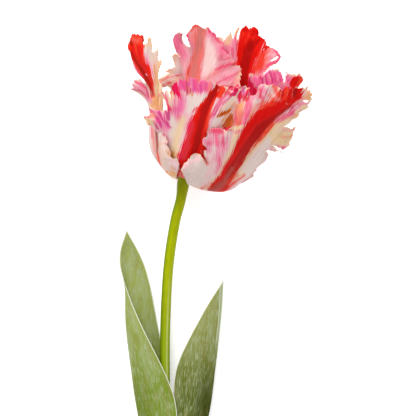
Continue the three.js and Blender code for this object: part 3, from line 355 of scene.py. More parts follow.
        "veins": paths_of("""
        -27.5 111.5 17, -29.8 120.5 12.5, -29.8 130 9.8, -28.8 139 8.5, -28.5 148 8.5, -31 157.5 11.5;
        -27.5 112 15.5, -28.8 123 9.8, -27.8 135 7, -26.5 147 6.5, -29 156 10, -39 162.5 17;
        -27.2 112.3 14.5, -28 125 8.5, -26 140 5.2, -24.5 154 4.8, -26 163 7, -35.5 169.5 13;
        -26.8 112.5 13.5, -27 126 7, -24 143.5 3.6, -22.8 160 3.6, -24 171.5 6, -29.5 181.5 12;
        -26.4 112.5 13, -26.3 126.3 6.3, -22.5 144.8 2.2, -21 163 2.6, -24.5 179.5 7, -28 193.5 14;
        -26 112.4 12.6, -25.6 126.3 5.7, -21.3 145.6 1.5, -18.5 164.5 2.2, -18 182.5 7, -22 196.5 15;
        -25.6 112.3 12.3, -25 126.2 5.3, -20.5 146 1.1, -17.3 165 2.2, -16.8 183.5 7, -20.5 196.5 14;
        -25 112 12, -24.3 126 5, -19.5 147 .8, -15.5 166 2.6, -13.5 185 7.5, -13.5 202 16;
        -24.2 111.8 11.8, -22.8 125.6 4.8, -17.2 146.8 1, -11.5 165.5 3, -7.5 182.5 8, -5 198.5 16;
        -23 111.5 11.8, -20.5 125 4.8, -14 146 1.4, -7.5 163.5 4, -2 178.5 8.5, 4.5 192 15;
        -21.8 111.2 11.8, -18.5 124.2 4.9, -11 145 2.4, -3.8 161.5 5, 2.5 174.5 9.5, 9.5 182 14;
        -21 111 11.8, -16.5 123.5 5, -8.5 143.5 3.3, -.5 158 6.2, 6 168.5 10, 14.5 176.5 14;
        -20 110.7 11.9, -14.6 122.4 5.3, -5.8 141.2 4.2, 2.5 154 7.5, 9 162.5 10.8, 17.3 171 14;
        -19.3 110.5 12, -13 121.5 5.5, -3.8 138.8 4.9, 4 149.5 8, 10.5 157 11, 17.5 163 13.5;
        -17.8 110 12.3, -11 119.5 6.5, -2 133 6, 5 142.5 8.2, 10.5 149.5 10.5, 17 156.5 12.5"""),
        "rim": points_of("""
        -24 149, -28 155.5, -29.6 158, -31.4 158.6, -33.2 157.6, -34.6 156, -36.6 155.8, -38.4 162.4, -34.6
        165.4, -31.2 167.4, -34.7 168.3, -31.4 169.8, -28.6 171.4, -27.2 171.6, -28.2 174, -29.2 178.6,
        -28.2 180.2, -26.6 180, -23.6 177.4, -25.8 181, -27.4 185, -27.9 189, -27.3 191.8, -24.4 194.3,
        -23.4 193.3, -21.7 193.9, -22.4 190, -21.6 187, -17.2 184, -18.6 188, -20.1 193, -18.4 195.6, -16.8
        197, -16.3 198.4, -13.6 200, -12 198.9, -10.8 199.2, -9.6 196.8, -8 196, -6.2 197, -4 196, -3.2
        193.9, -1 193.6, .2 191, 3 190.7, 4.9 189.4, 4.9 188.2, 6 187, 4.8 184.2, 6.4 181.6, 9 178.4, 12.2
        174.8, 11.6 173, 10.5 171.5, 13 172, 15.6 172.4, 16.7 168.9, 15.8 168.4, 16.8 166.2, 15.8 165.2,
        16.6 163, 15.6 161.8, 16.8 159, 17.6 157, 15 155.6, 9 150"""),
        "holes": [],
        # Painted shadow: the crimson and core strokes at the notch near x 5 to 16, y 157, darken the face
        # where it lies in shade. The umber, amber and crimson patches low down, near y 124 to 141, are the
        # cup floor as it shows through the front tepal's slit: its own warm colour darkened by painted shade.
        "paints": paints_of("""
        pink 2.2 1.5 .9: -26 190 3.4, -24.6 184 3.4, -21.4 179 2.6, -22 173 1; -18 191 2, -17 187 1.6; 3 183
        3, 8 181 3.4, 8 186 3; -1 168 3, 5 171 3.6, 12 174 2; 4 163 2.4, 12 168 3; -4 192 2.4, 0 188.6 2 |
        blush 2.2 1.4 .9: -21 165 2, -20 172 1.4, -18.6 178 1; -17 180 1, -18.4 174 1; 8 167 1.8, 14 170
        1.6; -6 165.6 2.4, 2 163 2 |
        pearl 2.2 1.2 .95: -5.6 189 1, -4.4 183 3.4, -3.4 176 5, -4.4 171 4.6, -6.4 166.6 2.6 |
        coral 2.2 .8 .6: -6.6 163 1.2, -1 167 1.5, 4.6 170.8 1.4, 11.6 174.4 1 |
        rose 2.2 1.4 .5: 2.6 177 1.6, 5 182 2, 7 186 1.4 |
        fuchsia 1.2 1.4 .45: -26 190 3, -24.6 184 3, -21.4 179 2 |
        white 1.9 1 .95: -36 160 5, -30 164 5, -26 170 4, -27 177 2.4 |
        cream 1.9 1 .75: -36 163 2.4, -31 167.6 2.2; -28.4 174 1.2, -27.6 179 1; -38 158 2.6, -33 157 2; 1.6
        189.6 1.2, 4.2 189 1.2; 13.6 161 1.8, 15 167 1.4; -30 160 2.4, -25 164 1.8 |
        rose .7 .45 .85: -19.6 193.8 .9, -18.4 190 .5; -36.4 161.8 .4, -32 164.4 .45, -26 165.6 .45, -23.6
        166.4 .3; -35.4 158.6 .3, -31 160.8 .45, -26.4 162.4 .45; 0 169.6 .7, 6 172 1, 11 173.8 1; 3.6 184.4
        .7, 8 182.4 .9; 1 160.8 .5, 9 164.6 .5, 15 168 .4; -4.6 194.6 1.2, -1 192.2 1.1, 1.2 188.6 1, 4.6
        186.6 .8; 5 176 .8, 9.4 177.6 .8 |
        apricot .7 .3 .9: -33.6 168.4 .7, -30 170.6 .6; -28.2 180 .7, -25.4 178.2 .5 |
        crimson .6 .35 .75: -24 193.8 .8, -22.2 191.6 1; -20 194.6 .5, -18.6 191.6 .4; -6 196.6 .8, -3.4
        194.6 .8 |
        salmon .8 .9 .95: -14.4 186 1.4, -14.4 191 2.4, -13 195 3.6 |
        coral .7 .9 .98: -23.4 108 1.6, -24 122 4, -19.6 146 5.6, -16.6 158 5.4, -15.4 164 4.9, -14.2 170
        4.5, -12.6 176 4.2, -11.4 182 3.7, -10.8 188 3.5, -10 194 3.2 |
        clay .9 1 .9: -24 116 1, -19.6 144 1.6, -16.4 157 1.5, -15.4 164 1.3, -14.2 171 1.3, -12.7 178 1.2,
        -11.4 185 1.1, -10.2 191 1.4, -9.8 197 1.6 |
        scarlet .7 .35 .75: -17 195.6 1, -14.6 199 1.2, -11.4 198.8 1; -18.9 166.6 .6, -17.4 172 .5 |
        crimson .6 .5 .85: 4.6 158.6 1, 8.6 157.4 1.6, 12 157 1.6; 14 159.4 .8, 16 157.6 .8 |
        core .4 .15 .8: 9 157.8 .4, 11.6 158.4 .5 |
        umber 3 2 1: -2 124 4, 3 133 9, 7 141 7 |
        amber .8 .4 .8: 1.6 138.6 .6, 4 139.6 .7; 6 132 .5, 10 140 .8 |
        crimson .6 .5 1: 5.6 129 1.4, 9.6 130.4 1.6 |
        rose 1.9 1.2 .45: 9.6 163 2, 14 161.6 2 |
        pink 1.3 .4 .8: -15.8 183 .7, -15.2 188 .8"""),
    },
    "petal_back_right": {
        "slot": "petal_outer", "base": "pink", "ground": "blush",
        "seat": (252, 316, 5.1, -3.1), "fringe": 0.7, "ruffle": 1.0, "pleat": 0.7,
        "veins": paths_of("""
        -18.5 108.5 9, -15.5 117 3.2, -12 125 1.3, -8.5 133 .7, -5 141 .6, -1 152 .8;
        -17 108 8.5, -12.5 117.5 2.6, -7.5 129 .8, -2.5 141 .6, 1.2 154 .7, 4.5 172 2.5;
        -16.2 107.8 8.3, -10.8 117.5 2.4, -4.5 131.5 .6, 1 146 .6, 4.2 166 2.2, 5.5 192 7.5;
        -15.5 107.5 8.2, -9 117.5 2.2, -2 132.5 .5, 4 149 .7, 7.6 170 3.2, 11 199 9;
        -14.8 107.3 8.1, -7.8 117.3 2, 0 133 .5, 6.8 150.5 .9, 11 171 3.7, 15.5 200 10.5;
        -14 107 8, -6.5 117 1.8, 2 134 .5, 9.2 152 1.1, 13.8 171 3.8, 17.5 199.5 11;
        -13.2 106.5 8, -5 116.5 1.8, 4.4 134.2 .6, 12.4 153 1.3, 17.6 172 4.3, 21.8 200.5 12;
        -12.5 106 8, -3.5 116 1.8, 6.8 134.3 .8, 15.6 153.5 1.8, 21.8 172 5, 27 199.5 12.5;
        -11.6 105.5 8.2, -2 115.3 2.2, 9 133.3 1.2, 18.4 152.5 2.5, 26 170 6.5, 33 191.5 13;
        -11 105 8.5, -.5 114.5 2.6, 10.8 132.2 1.7, 20.8 151 3.2, 28.5 167.5 7.8, 34.5 188 14;
        -10.2 104.5 9, .8 113.5 3.3, 12.4 130.8 2.4, 22.6 148.3 4.2, 31.5 165.5 9.5, 43 182.2 15.5;
        -9.5 104 9.5, 2 112.5 4, 13.6 129 3, 24 145.6 5.2, 33 162.5 10.5, 44.3 179 16;
        -8.5 103 11, 3.5 110 6, 14.2 125 5.2, 24 140 7.3, 31 153 10.5, 36.5 169 15;
        -7.5 102 12.5, 4 107.5 8.5, 13.4 118 8.4, 22 129 10, 28 138.5 12, 33 150 14"""),
        "rim": points_of("""
        1 150, 4 165, 3.4 178, 3.6 184, 5.1 187.4, 6.1 190.2, 8.6 192.4, 10.7 196.6, 10.2 192.6, 11.8 190.4,
        13 193.6, 15.2 197.9, 16.3 197.6, 14.6 194, 14 190.6, 14.9 189.3, 16 194, 17 196.4, 19.6 198.5, 21.4
        197.6, 21.9 196.5, 24.8 198.4, 27.2 197.2, 27.7 195.8, 29 193.8, 28.4 192.4, 29.6 192.2, 29.3 190.9,
        31.4 190, 32.6 188.2, 32.4 185.4, 31 182.8, 30.9 181.8, 33.2 185.9, 34.5 185.4, 35.4 184.2, 37.2
        184.1, 41.2 181, 42.8 179.4, 43.4 178, 43.2 176.6, 41 174, 37 172, 34 169.4, 31.6 167.2, 30 160"""),
        "holes": [(10.5, points_of("35.6 175, 38 177, 41 178.6, 41.6 177.6, 39.4 176, 37 174.9"))],
        # The umber, amber and crimson patches low down, near y 124 to 141, are the cup floor as it shows
        # through the front tepal's slit: its own warm colour darkened by painted shade
        "paints": paints_of("""
        pink 1.9 1.4 .95: 5.6 179 2.6, 8.4 184 2.4; 12.2 176 2, 12.4 183 2, 12.8 190 1.6; 32 172 3, 37 179
        4.4, 41 180 2; 26 167 2, 30 168 2 |
        cream 1.3 .8 .95: 7.6 188 2, 9 192 2, 10 196 1.4; 31 179 .9, 34.4 179.4 .8; 27.4 168 .9, 29.6 169 .7
        |
        salmon 1 1.2 .95: 36 179.4 2.2, 34 181 2; 25 169 2, 28 172 1.6 |
        coral 3.2 1 .95: 31 170 2.4, 33.4 175 3.2, 33.6 181 2.2 |
        scarlet 1.6 1 .95: 24.4 168 2.6, 27.6 172 2.8, 29.6 177 3, 30.6 182 2; 11.4 173 1.4, 14.6 174.6 1.6
        |
        blush 1.6 1 .9: 35.6 180.2 1.6, 38.6 179.8 1.6; 34.6 174.4 .5, 38 177 .6 |
        rose .6 .4 .9: 11.2 178 .6, 11 184 .6; 33.6 171.8 .9, 37.4 173.6 1.1, 41.6 175.4 1, 42.8 178 1, 41
        181 1, 37.6 183.6 .8; 4.6 183 .7, 7.6 181 .6; 13.6 186 .6, 13.4 191 .5; 29 167.6 .5, 33 170.4 .6 |
        apricot .6 .3 .95: 13.8 192.6 .6, 15.4 197.4 .9 |
        ruby .5 .8 1: -17 104 1, -6 116 2, 4 134 3, 12 150 3.6, 17 158 3.6; 14 140 3, 17 150 3.5, 19 158 4,
        19 166 4.8, 19 172 5.8, 20 178 6.6, 22.2 185 7.8, 23.4 190 8, 22 196 6.4; 31.2 181.6 1.4, 33.4 184.4
        2.2, 35.4 184.8 1.2; 28.6 184 2.4, 30 188 2.6 |
        scarlet .9 .4 .9: 31 179 1, 34.6 182 1 |
        scarlet .9 .45 .6: 19 187 .5, 21.6 192 .7, 23 196.6 .7; 16.6 190 .4, 18.4 195 .5; 28.2 175 1.1, 29.4
        181 .8; 25.6 193 .4, 24.4 187 .5 |
        core 1.8 1.2 .9: 18.6 156 3, 18.4 166 2.8, 19.6 174 3.2, 21.4 181 3, 23.4 186.6 1.8 |
        core .6 .3 .8: 24.6 192.4 .7, 27.6 193.4 .5; 27.6 188.4 .8, 30.6 189.4 .6; 17.4 197 .5, 19 194.6 .3;
        22.6 197.4 .5, 22 194 .3; 22.4 182 .6, 27 187.4 1, 29 190 .4 |
        umber 3 2 1: 0 124 4, 5 133 8, 7 141 6 |
        amber .8 .4 .8: 1.6 138.6 .6, 4 139.6 .7; 6 132 .5, 10 140 .8 |
        crimson .6 .5 1: 5.6 129 1.4, 9.6 130.4 1.6 |
        cherry 1 .8 .8: 23.4 162 2, 24.6 168 1.6 |
        coral 1.3 .4 .6: 34.8 182.4 1.2, 37.4 181.6 1.1"""),
    },
    "petal_right": {
        "slot": "petal_inner", "base": "violet", "ground": "pink",
        "seat": (369, 313, 5.0, -0.35), "fringe": 0.9, "ruffle": 1.0, "pleat": 0.9,
        "veins": paths_of("""
        -6 93.5 35, 2 97 44, 7 106 51, 10.5 117 56.5, 13.5 128 60;
        -5 94.5 33.5, 3.5 98.5 42, 10 109 49, 15.5 125 56, 19 148 63;
        -4 95.5 31.5, 5.5 100 38.5, 13 112 45.5, 19.5 130 53, 24 161 62;
        -3.2 96.5 29, 7.5 101.5 34.5, 16.5 115 41, 25.5 134.5 49, 34.5 168 58;
        -2.8 97.5 26.5, 9 103 30.5, 19.5 117 36.5, 31 136 43.5, 44 168.5 53;
        -2.8 98.6 24, 9.5 104.5 26.5, 21 118.5 31.5, 34 136.5 38, 55.5 163.5 48;
        -3.2 99.8 21.5, 9 105.5 22, 20.5 118 26, 32.5 132.5 31.5, 49 150 38;
        -4 101.2 19.5, 7 106 18.5, 17 116 20.5, 27 127 24.5, 37 137 28"""),
        "rim": points_of("""
        14 131, 17 142, 21 152, 22.4 158, 21.7 163, 22.6 164.5, 24.6 166.2, 27.4 164.6, 28.6 166.2, 31
        165.4, 33.4 166.9, 38.6 169.7, 42 169.9, 42 167.6, 43.6 167, 44.4 164, 44.7 161, 45.3 165, 46.5
        168.5, 48 167.7, 48.7 168.3, 50.3 166.4, 51.6 167.1, 53 166.1, 54.1 167.2, 57 164.4, 58 163, 56
        160.4, 53.6 157.8, 50 153"""),
        "holes": [],
        # The umber, amber and crimson patches low down, near y 124 to 141, are the cup floor as it shows
        # through the front tepal's slit: its own warm colour darkened by painted shade
        "paints": paints_of("""
        pink 1.9 1.4 .8: 24 163.6 1.6, 27 163 1.6; 46.4 164 3, 48 162.6 3; 40 159.4 1.4, 44 160.4 1.4; 39
        166.6 2, 41 166.6 2 |
        fuchsia .9 1 .95: 28 162.6 4, 35 164 5.4, 42 164 4.4; 46.6 164 1.6, 47.4 162.6 1.6 |
        pink .7 .4 .8: 25.4 164.8 .8, 27.4 163.6 .8; 34.4 168.6 .6, 40 169 .7; 45.6 165 .8, 46 161.6 .8;
        41.6 163 .6, 42 159.6 .8 |
        magenta .5 .35 .9: 30.2 165 .7, 30.6 160.6 .8; 33 165.4 .5, 33.4 160.4 .7; 35.6 168 .5, 37.4 161 .8;
        38.4 167 .4, 39.2 161.6 .5; 42 166.6 .3, 42.6 162 .4; 47.8 166 .4, 47.2 161.4 .4 |
        blush .5 .3 .8: 31.8 165.6 .3, 32 161.6 .4; 35 166.4 .4, 35.6 163 .4; 40.6 167 .4, 40.8 162 .4 |
        crimson .5 .6 1: 21.6 163 1.8, 22.8 159 2.6, 24.6 155.4 2.8, 26 151 2.4; 28.9 165.4 .9, 29.3 163.6
        .8 |
        core .8 .35 .6: 25.4 157 .5, 26 152 1 |
        cream .6 .25 .9: 27.2 165.8 .5, 27.5 164.8 .5; 38.6 169.5 .5, 42.4 169.6 .6 |
        scarlet .6 .7 1: 50.6 157 2, 53 161.4 4.2, 56 163 3 |
        flame .6 .7 .95: 51 158 1.6, 51.6 163 2.2, 53.4 164.4 1.6 |
        ruby .8 1.2 1: -8 99 1.6, 9 105.6 2.6, 20 119 3.6, 32 135 4.4, 45 152 4 |
        umber 3 2 1: 4 124 4, 7 133 6, 9 141 5 |
        amber .8 .4 .8: 1.6 138.6 .6, 4 139.6 .7; 6 132 .5, 10 140 .8 |
        crimson .6 .5 1: 5.6 129 1.4, 9.6 130.4 1.6"""),
    },
}

# Leaves are folded blades: veins from one margin over the keel to the other, foot first
LEAVES = {
    "leaf_left": paths_of("""
    -26 -165 8, -26.2 -140 11.2, -24.8 -105 14.6, -26.2 -59 13.6, -32.6 -36 14, -50.3 0 13.5, -62.4 29 9.5,
    -65.4 46 6, -60.4 64 5; -30.6 -165 10.5, -32.4 -140 12.9, -34.6 -105 16.2, -39 -59 15.2, -44.4 -36 15,
    -56.4 0 12, -62 29 6, -62.4 46 4, -60.4 64 5; -35.2 -165 5.6, -38.2 -140 7, -44 -105 8.5, -52.6 -59 9,
    -56.2 -36 8.5, -60.4 0 6.5, -59.4 29 3, -58.4 46 2.6, -60.4 64 5; -30.8 -165 .7, -33 -140 .8, -37.6 -105
    1.2, -43 -59 1.4, -46.6 -36 1.4, -50.6 0 1.2, -52.6 29 1.6, -54.2 46 2.4, -60.4 64 5; -26 -165 2.9,
    -26.5 -140 2, -26.2 -105 1.2, -29.6 -59 1.2, -32.6 -36 1, -39.4 0 1.2, -45 29 2.4, -50.6 46 3.4, -60.4
    64 5"""),
    "leaf_right": paths_of("""
    -35.8 -124 10, -33.2 -107 12.4, -28.6 -85 12.2, -28.6 -59 11.4, -26.4 -29 11.4, -10.2 5 9.5, 4.8 29.4 6;
    -31.6 -124 12.6, -27.4 -107 12.8, -19.5 -85 12.8, -16 -59 12.2, -12.6 -29 11.6, -2.6 5 8.8, 4.8 29.4 6;
    -26.5 -124 7.6, -21.8 -107 7.8, -11.5 -85 7.6, -4.6 -59 7, -.6 -29 6.5, 3.2 5 6, 4.8 29.4 6; -31.6 -124
    2.7, -26.6 -107 2.9, -18.5 -85 3, -14.5 -59 2.4, -9.6 -29 2, -1.5 5 2.4, 4.8 29.4 6; -36.4 -124 5.6,
    -31.5 -107 2.9, -26 -85 2.8, -25.4 -59 2.4, -19 -29 2, -6 5 3.2, 4.8 29.4 6"""),
}

# The middle of the stalk from its cut end to the receptacle
STEM_LINE = points_of("""
-29.8 -201.5 3.45, -30.4 -165 5.6, -31 -140 7, -32.4 -100 8, -33.9 -60 8.3, -34.4 -25 8.6, -33.9 4.3 9,
-32.6 30.7 10, -30.5 50.5 12, -27.1 70.3 15.2, -23.5 84 18.2, -21.1 99.16 23.08, -19.9 102.6 24.6""")


# ---------------------------------------------------------------- sizes, grains and seeds

# Radius round the bloom's axis and height along it of a stamen's middle line
STAMEN_LINE = points_of("3.3 .35, 5.2 8, 6.6 14, 8.2 23, 9 32")
STAMEN_COUNT = 6

# Distance from the foot and radius there, of a stamen with its anther and of the pistil
STAMEN_PROFILE = points_of("0 .8, 12 .55, 14 .6, 16 1.7, 26 1.6, 33 .5")
PISTIL_PROFILE = points_of("0 1.9, 2 2.3, 6 3.1, 14 3.5, 23 2.9, 26 2.2, 29 4.4, 31 3.6, 32 1.4")
PISTIL_FOOT = 0.35

# Depth of the pistil's three lobes as a share of its radius, what the stigma adds, and the heights
# between which it starts
OVARY_LOBES = 0.06
STIGMA_LOBES = 0.16
STIGMA_START = (24, 29)

# The stalk swells under the bloom between these distances from its top, and its top is rounded off. Its
# radius wanders by a small share.
SWELL_REACH = (20, 6)
TOP_ROUNDING = 0.7
TOP_REACH = 0.5
STALK_WANDER = 0.012
STALK_WANDER_LENGTH = 14
STALK_SEED = 11

# Points along and sides round the lofted pieces
STALK_MESH = (260, 48)
PISTIL_MESH = (70, 48)
STAMEN_MESH = (60, 20)

# Grains of the colour: width across the veins, length along them and depth in mm, then the noise's detail
# and roughness. Cells and the finest veins are really about 0.1 mm wide, and are drawn three to five
# times as wide so that they show.
TEPAL_GRAINS = {"streak": (0.9, 14.0, 1.0, 3.0, 0.6), "hair": (0.35, 10.0, 1.0, 1.0, 0.5)}
CLOUD_GRAINS = {"cloud": (9.0, 9.0, 9.0, 2.0, 0.5)}
LEAF_GRAINS = {
    "vein": (0.5, 60.0, 1.0, 2.0, 0.5),
    "dash": (0.7, 6.0, 1.0, 2.0, 0.5),
    "cell": (0.5, 1.2, 1.0, 2.0, 0.5),
    "wax": (6.0, 22.0, 1.0, 3.0, 0.5),
    "stain": (4.0, 18.0, 1.0, 2.0, 0.5),
}
STALK_GRAINS = {"rib": (0.7, 60.0, 1.0, 2.0, 0.5), "mottle": (2.5, 9.0, 1.0, 3.0, 0.5)}
PAPER_GRAINS = {"fibre": (4.0, 4.0, 4.0, 2.0, 0.5)}
OVARY_GRAIN = 1.2
POLLEN_GRAIN = 0.5

# Water-filled plant tissue bends light as much as this
TISSUE_IOR = 1.42

# Nearly all of a noise's values lie between these two
NOISE_SPAN = (0.35, 0.65)

# Spacing of the teeth, waves and ribs along a tepal's rim
TOOTH_WIDTH = 1.5
RUFFLE_WIDTH = 9.0
PLEAT_WIDTH = 1.6

# Small teeth between the large ones, and waves between the waves: their width and height as shares
SMALL_TOOTH = (0.45, 0.6)
SMALL_WAVE = (0.4, 0.55)
TOOTH_SINK = 0.25

# Waves and ribs are drawn out along the veins by these shares. They keep the first share of their
# height inside a tepal and the second comes on top within RUFFLE_REACH of the rim, where it is loose.
WAVE_STRETCH = 0.35
RIB_STRETCH = 0.05
WAVE_SHARES = (0.35, 0.9)
RIB_SHARES = (0.35, 0.65)
RUFFLE_REACH = 11.0
RISE = (0.25, 0.9)
MIDRIB_SLOPE = (-3.0, 1.0)
THICKENING = 9.0

# Spacing of the points of a tepal's rim and of its sheet, and how near the rim the sheet's may lie
RIM_STEP = 0.35
GRID_STEP = 0.65
RIM_CLEARANCE = 0.4 * GRID_STEP

# A tepal's width is measured at this share of its veins and its length in this many steps. Its sheet
# reaches past the ends of the veins, as rims do.
BELLY = 0.85
VEIN_STEPS = 30
SHEET_REACH = 1.2

# Depth in a stroke of a point that no part of the stroke is near
FAR_OUTSIDE = -50.0

# A rim is looked for on this net of places, whose shares of the veins go a little past their ends. Its
# next point lies within RIM_STRIDE veins of the last one. Long strides and places past the end cost extra.
SEARCH_COLUMNS = 321
SEARCH_ROWS = 191
SEARCH_SHARES = (0.2, 1.15)
RIM_STRIDE = 2.2
STRIDE_COST = 0.1
BEYOND_COST = 20

# Values that the noises draw: in a row, and along each side of a square
RIPPLE_VALUES = 512
CLOUD_VALUES = 64

# Seeds of the random draws: each tepal has its own from here on, and the leaves share theirs
TEPAL_SEED = 100
TEPAL_SEED_STEP = 10
GROOVE_SEED = 70
MARGIN_SEED = 71

# Heights between which the leaves' colour turns, and where their margins wave and grow thin
LEAF_FOOT = -58.0
LEAF_TIP = 25.0
MARGIN_WAVE_LENGTH = 30
MARGIN_WAVE_REACH = 9
MARGIN_TAPER = 1.5
MARGIN_SHARES = (0.35, 0.65)

# The keel's strip fades in and out over these lengths
STRIP_START = 14
STRIP_END = 6

# Tepals and leaves stay this far above the ground with the middle of their sheet
TEPAL_CLEARANCE = 0.5
LEAF_CLEARANCE = 0.4

# The camera looks straight down from CAMERA_HEIGHT; rims and paints are drawn as it sees them, on a
# level PAINT_HEIGHT above the floor
CAMERA_X = -5.28
CAMERA_Y = 78.21
CAMERA_HEIGHT = 1500.0
CAMERA_LENS = 191.43
CAMERA_SENSOR = 36.0
PAINT_HEIGHT = 40.0

# The stage, in metres: the floor's half size and its place under the flower, and for each soft light
# where it stands and how wide it is
FLOOR_HALF = 3.0
FLOOR_DROP = 0.0004
SOFT_LIGHTS = {"key": ((-0.35, 1.2, 1.05), 1.0), "fill": ((0.95, -0.35, 1.15), 1.3)}
LIGHT_TARGET = (0.0, 0.1, 0.0)
VIEW_DISTANCE = 10.0


# ---------------------------------------------------------------- curves, nets and noise


def curve_between(p0, p1, p2, p3, f):
    """Smooth curve from p1 to p2, whose neighbours are p0 and p3, at the fraction f."""
    return 0.5 * (2 * p1 + (p2 - p0) * f + (2 * p0 - 5 * p1 + 4 * p2 - p3) * f ** 2
                  + (3 * p1 - p0 - 3 * p2 + p3) * f ** 3)


def spline(points, position):
    """Smooth curve through the points of the first axis; position counts in points."""
    points = np.asarray(points, dtype=float)
    last = len(points) - 1
    start = np.clip(np.floor(position).astype(int), 0, last - 1)
    f = (position - start).reshape((-1,) + (1,) * (points.ndim - 1))
    padded = np.concatenate([[2 * points[0] - points[1]], points, [2 * points[-1] - points[-2]]])
    return curve_between(*(padded[start + k] for k in range(4)), f)


def smoothstep(low, high, value):
    """0 up to low, 1 from high on, and a smooth rise between them."""
    x = np.clip((value - low) / (high - low), 0.0, 1.0)
    return x * x * (3 - 2 * x)


def ripple(position, seed):
    """Smooth one-dimensional noise between -1 and 1, one random value per unit."""
    table = np.random.RandomState(seed).uniform(-1, 1, RIPPLE_VALUES)
    cell = np.floor(position).astype(int)
    f = smoothstep(0.0, 1.0, position - cell)
    return table[cell % RIPPLE_VALUES] * (1 - f) + table[(cell + 1) % RIPPLE_VALUES] * f


def clouds(place, size, seed):
    """Smooth two-dimensional noise between -1 and 1, one random value per size."""
    table = np.random.RandomState(seed).uniform(-1, 1, (CLOUD_VALUES, CLOUD_VALUES))
    spot = place / size
    cell = np.floor(spot).astype(int)
    f = smoothstep(0.0, 1.0, spot - cell)
    x0, y0 = (cell % CLOUD_VALUES).T
    x1, y1 = (x0 + 1) % CLOUD_VALUES, (y0 + 1) % CLOUD_VALUES
    low = table[x0, y0] * (1 - f[:, 0]) + table[x1, y0] * f[:, 0]
    high = table[x0, y1] * (1 - f[:, 0]) + table[x1, y1] * f[:, 0]
    return low * (1 - f[:, 1]) + high * f[:, 1]


def around_bloom(degrees, radius, height):
    """A point round the bloom's axis: 0 degrees is to the right and 90 degrees is to the front."""
    angle = math.radians(degrees)
    return (RECEPTACLE_TOP + radius * math.cos(angle) * BLOOM_RIGHT
            + radius * math.sin(angle) * BLOOM_FRONT + height * BLOOM_AXIS)


def unit(vectors):
    """The vectors with a length of one."""
    return vectors / np.maximum(np.linalg.norm(vectors, axis=-1, keepdims=True), 1e-9)


def net_points(net, across, along):
    """Points on a vein net: across counts in veins, along is a share of the vein, past its end too."""
    across, along = np.broadcast_arrays(across, along)
    lines = spline(net, across.ravel())
    steps = lines.shape[1] - 1
    inside = np.clip(along.ravel(), 0.0, 1.0)
    start = np.clip(np.floor(inside * steps).astype(int), 0, steps - 1)
    f = (inside * steps - start)[:, None]
    before, after = 2 * lines[:, :1] - lines[:, 1:2], 2 * lines[:, -1:] - lines[:, -2:-1]
    padded = np.concatenate([before, lines, after], axis=1)
    row = np.arange(len(lines))
    made = curve_between(*(padded[row, start + k] for k in range(4)), f)
    beyond = (along.ravel() - inside)[:, None] * steps * (lines[:, -1] - lines[:, -2])
    return (made + beyond).reshape(across.shape + (3,))


def net_normals(net, across, along):
    """Directions that stand upright on a vein net."""
    step = 0.01
    side = net_points(net, across + step, along) - net_points(net, across - step, along)
    ahead = net_points(net, across, along + step) - net_points(net, across, np.maximum(along - step, 0.0))
    return unit(np.cross(side, ahead))


def seen_from_above(points):
    """Where points show from the camera's place, on the level that rims and paints are drawn on."""
    centre = np.array([CAMERA_X, CAMERA_Y])
    spread = (CAMERA_HEIGHT - PAINT_HEIGHT) / (CAMERA_HEIGHT - points[..., 2:])
    return centre + (points[..., :2] - centre) * spread


def places_on_net(net, outline, near):
    """Where an outline seen from above lies on a net, as across and along of each of its points."""
    across = np.linspace(0, len(net) - 1, SEARCH_COLUMNS)
    along = np.linspace(*SEARCH_SHARES, SEARCH_ROWS)
    shown = seen_from_above(net_points(net, across[:, None], along[None, :]))
    beyond = BEYOND_COST * np.maximum(along - 1, 0) ** 2
    places = []
    for point in outline:
        stride = np.abs(across - near)[:, None]
        gap = np.sum((shown - np.array(point)) ** 2, axis=2) + STRIDE_COST * stride ** 2 + beyond
        gap[stride[:, 0] > RIM_STRIDE] = np.inf
        column, row = np.unravel_index(np.argmin(gap), gap.shape)
        near = across[column]
        places.append((near, along[row]))
    return np.array(places)


def stepped(line, step):
    """The points of a line set again at an even step, corners kept."""
    parts = []
    for start, end in zip(line, line[1:]):
        count = max(1, int(round(np.linalg.norm(end - start) / step)))
        parts.append(start + (end - start) * (np.arange(count) / count)[:, None])
    return np.concatenate([*parts, line[-1:]])


def travelled(points):
    """Distance along a line of points from its first one."""
    return np.concatenate([[0.0], np.cumsum(np.linalg.norm(np.diff(points, axis=0), axis=1))])


def distance_to_line(points, line):
    """Distance from each flat point to the nearest point of a finely stepped line."""
    parts = np.array_split(points, len(points) // 500 + 1)
    return np.concatenate([
        np.sqrt(np.min(np.sum((part[:, None] - line) ** 2, axis=2), axis=1)) for part in parts])


def inside_loop(points, loop):
    """Whether flat points lie inside a closed loop."""
    x, y = points[:, 0], points[:, 1]
    inside = np.zeros(len(points), dtype=bool)
    for (x0, y0), (x1, y1) in zip(loop, np.roll(loop, -1, axis=0)):
        crosses = (y0 > y) != (y1 > y)
        inside ^= crosses & (x < (x1 - x0) * (y - y0) / (y1 - y0 if y1 != y0 else 1e-9) + x0)
    return inside


# ---------------------------------------------------------------- meshes


def make_object(name, vertices, faces, uv=None, floats=None):
    """A smooth mesh object from millimetre vertices, with uv and named values per vertex."""
    mesh = bpy.data.meshes.new(name)
    mesh.from_pydata((np.asarray(vertices) * MM).tolist(), [], faces)
    mesh.validate()
    mesh.shade_smooth()
    if uv is not None:
        corners = np.empty(len(mesh.loops), dtype=int)
        mesh.loops.foreach_get("vertex_index", corners)
        layer = mesh.uv_layers.new(name="UVMap")
        layer.data.foreach_set("uv", np.asarray(uv)[corners].astype(np.float32).ravel())
    for key, values in (floats or {}).items():
        attribute = mesh.attributes.new(key, "FLOAT", "POINT")
        attribute.data.foreach_set("value", np.asarray(values, dtype=np.float32))
    made = bpy.data.objects.new(name, mesh)
    bpy.context.scene.collection.objects.link(made)
    return made


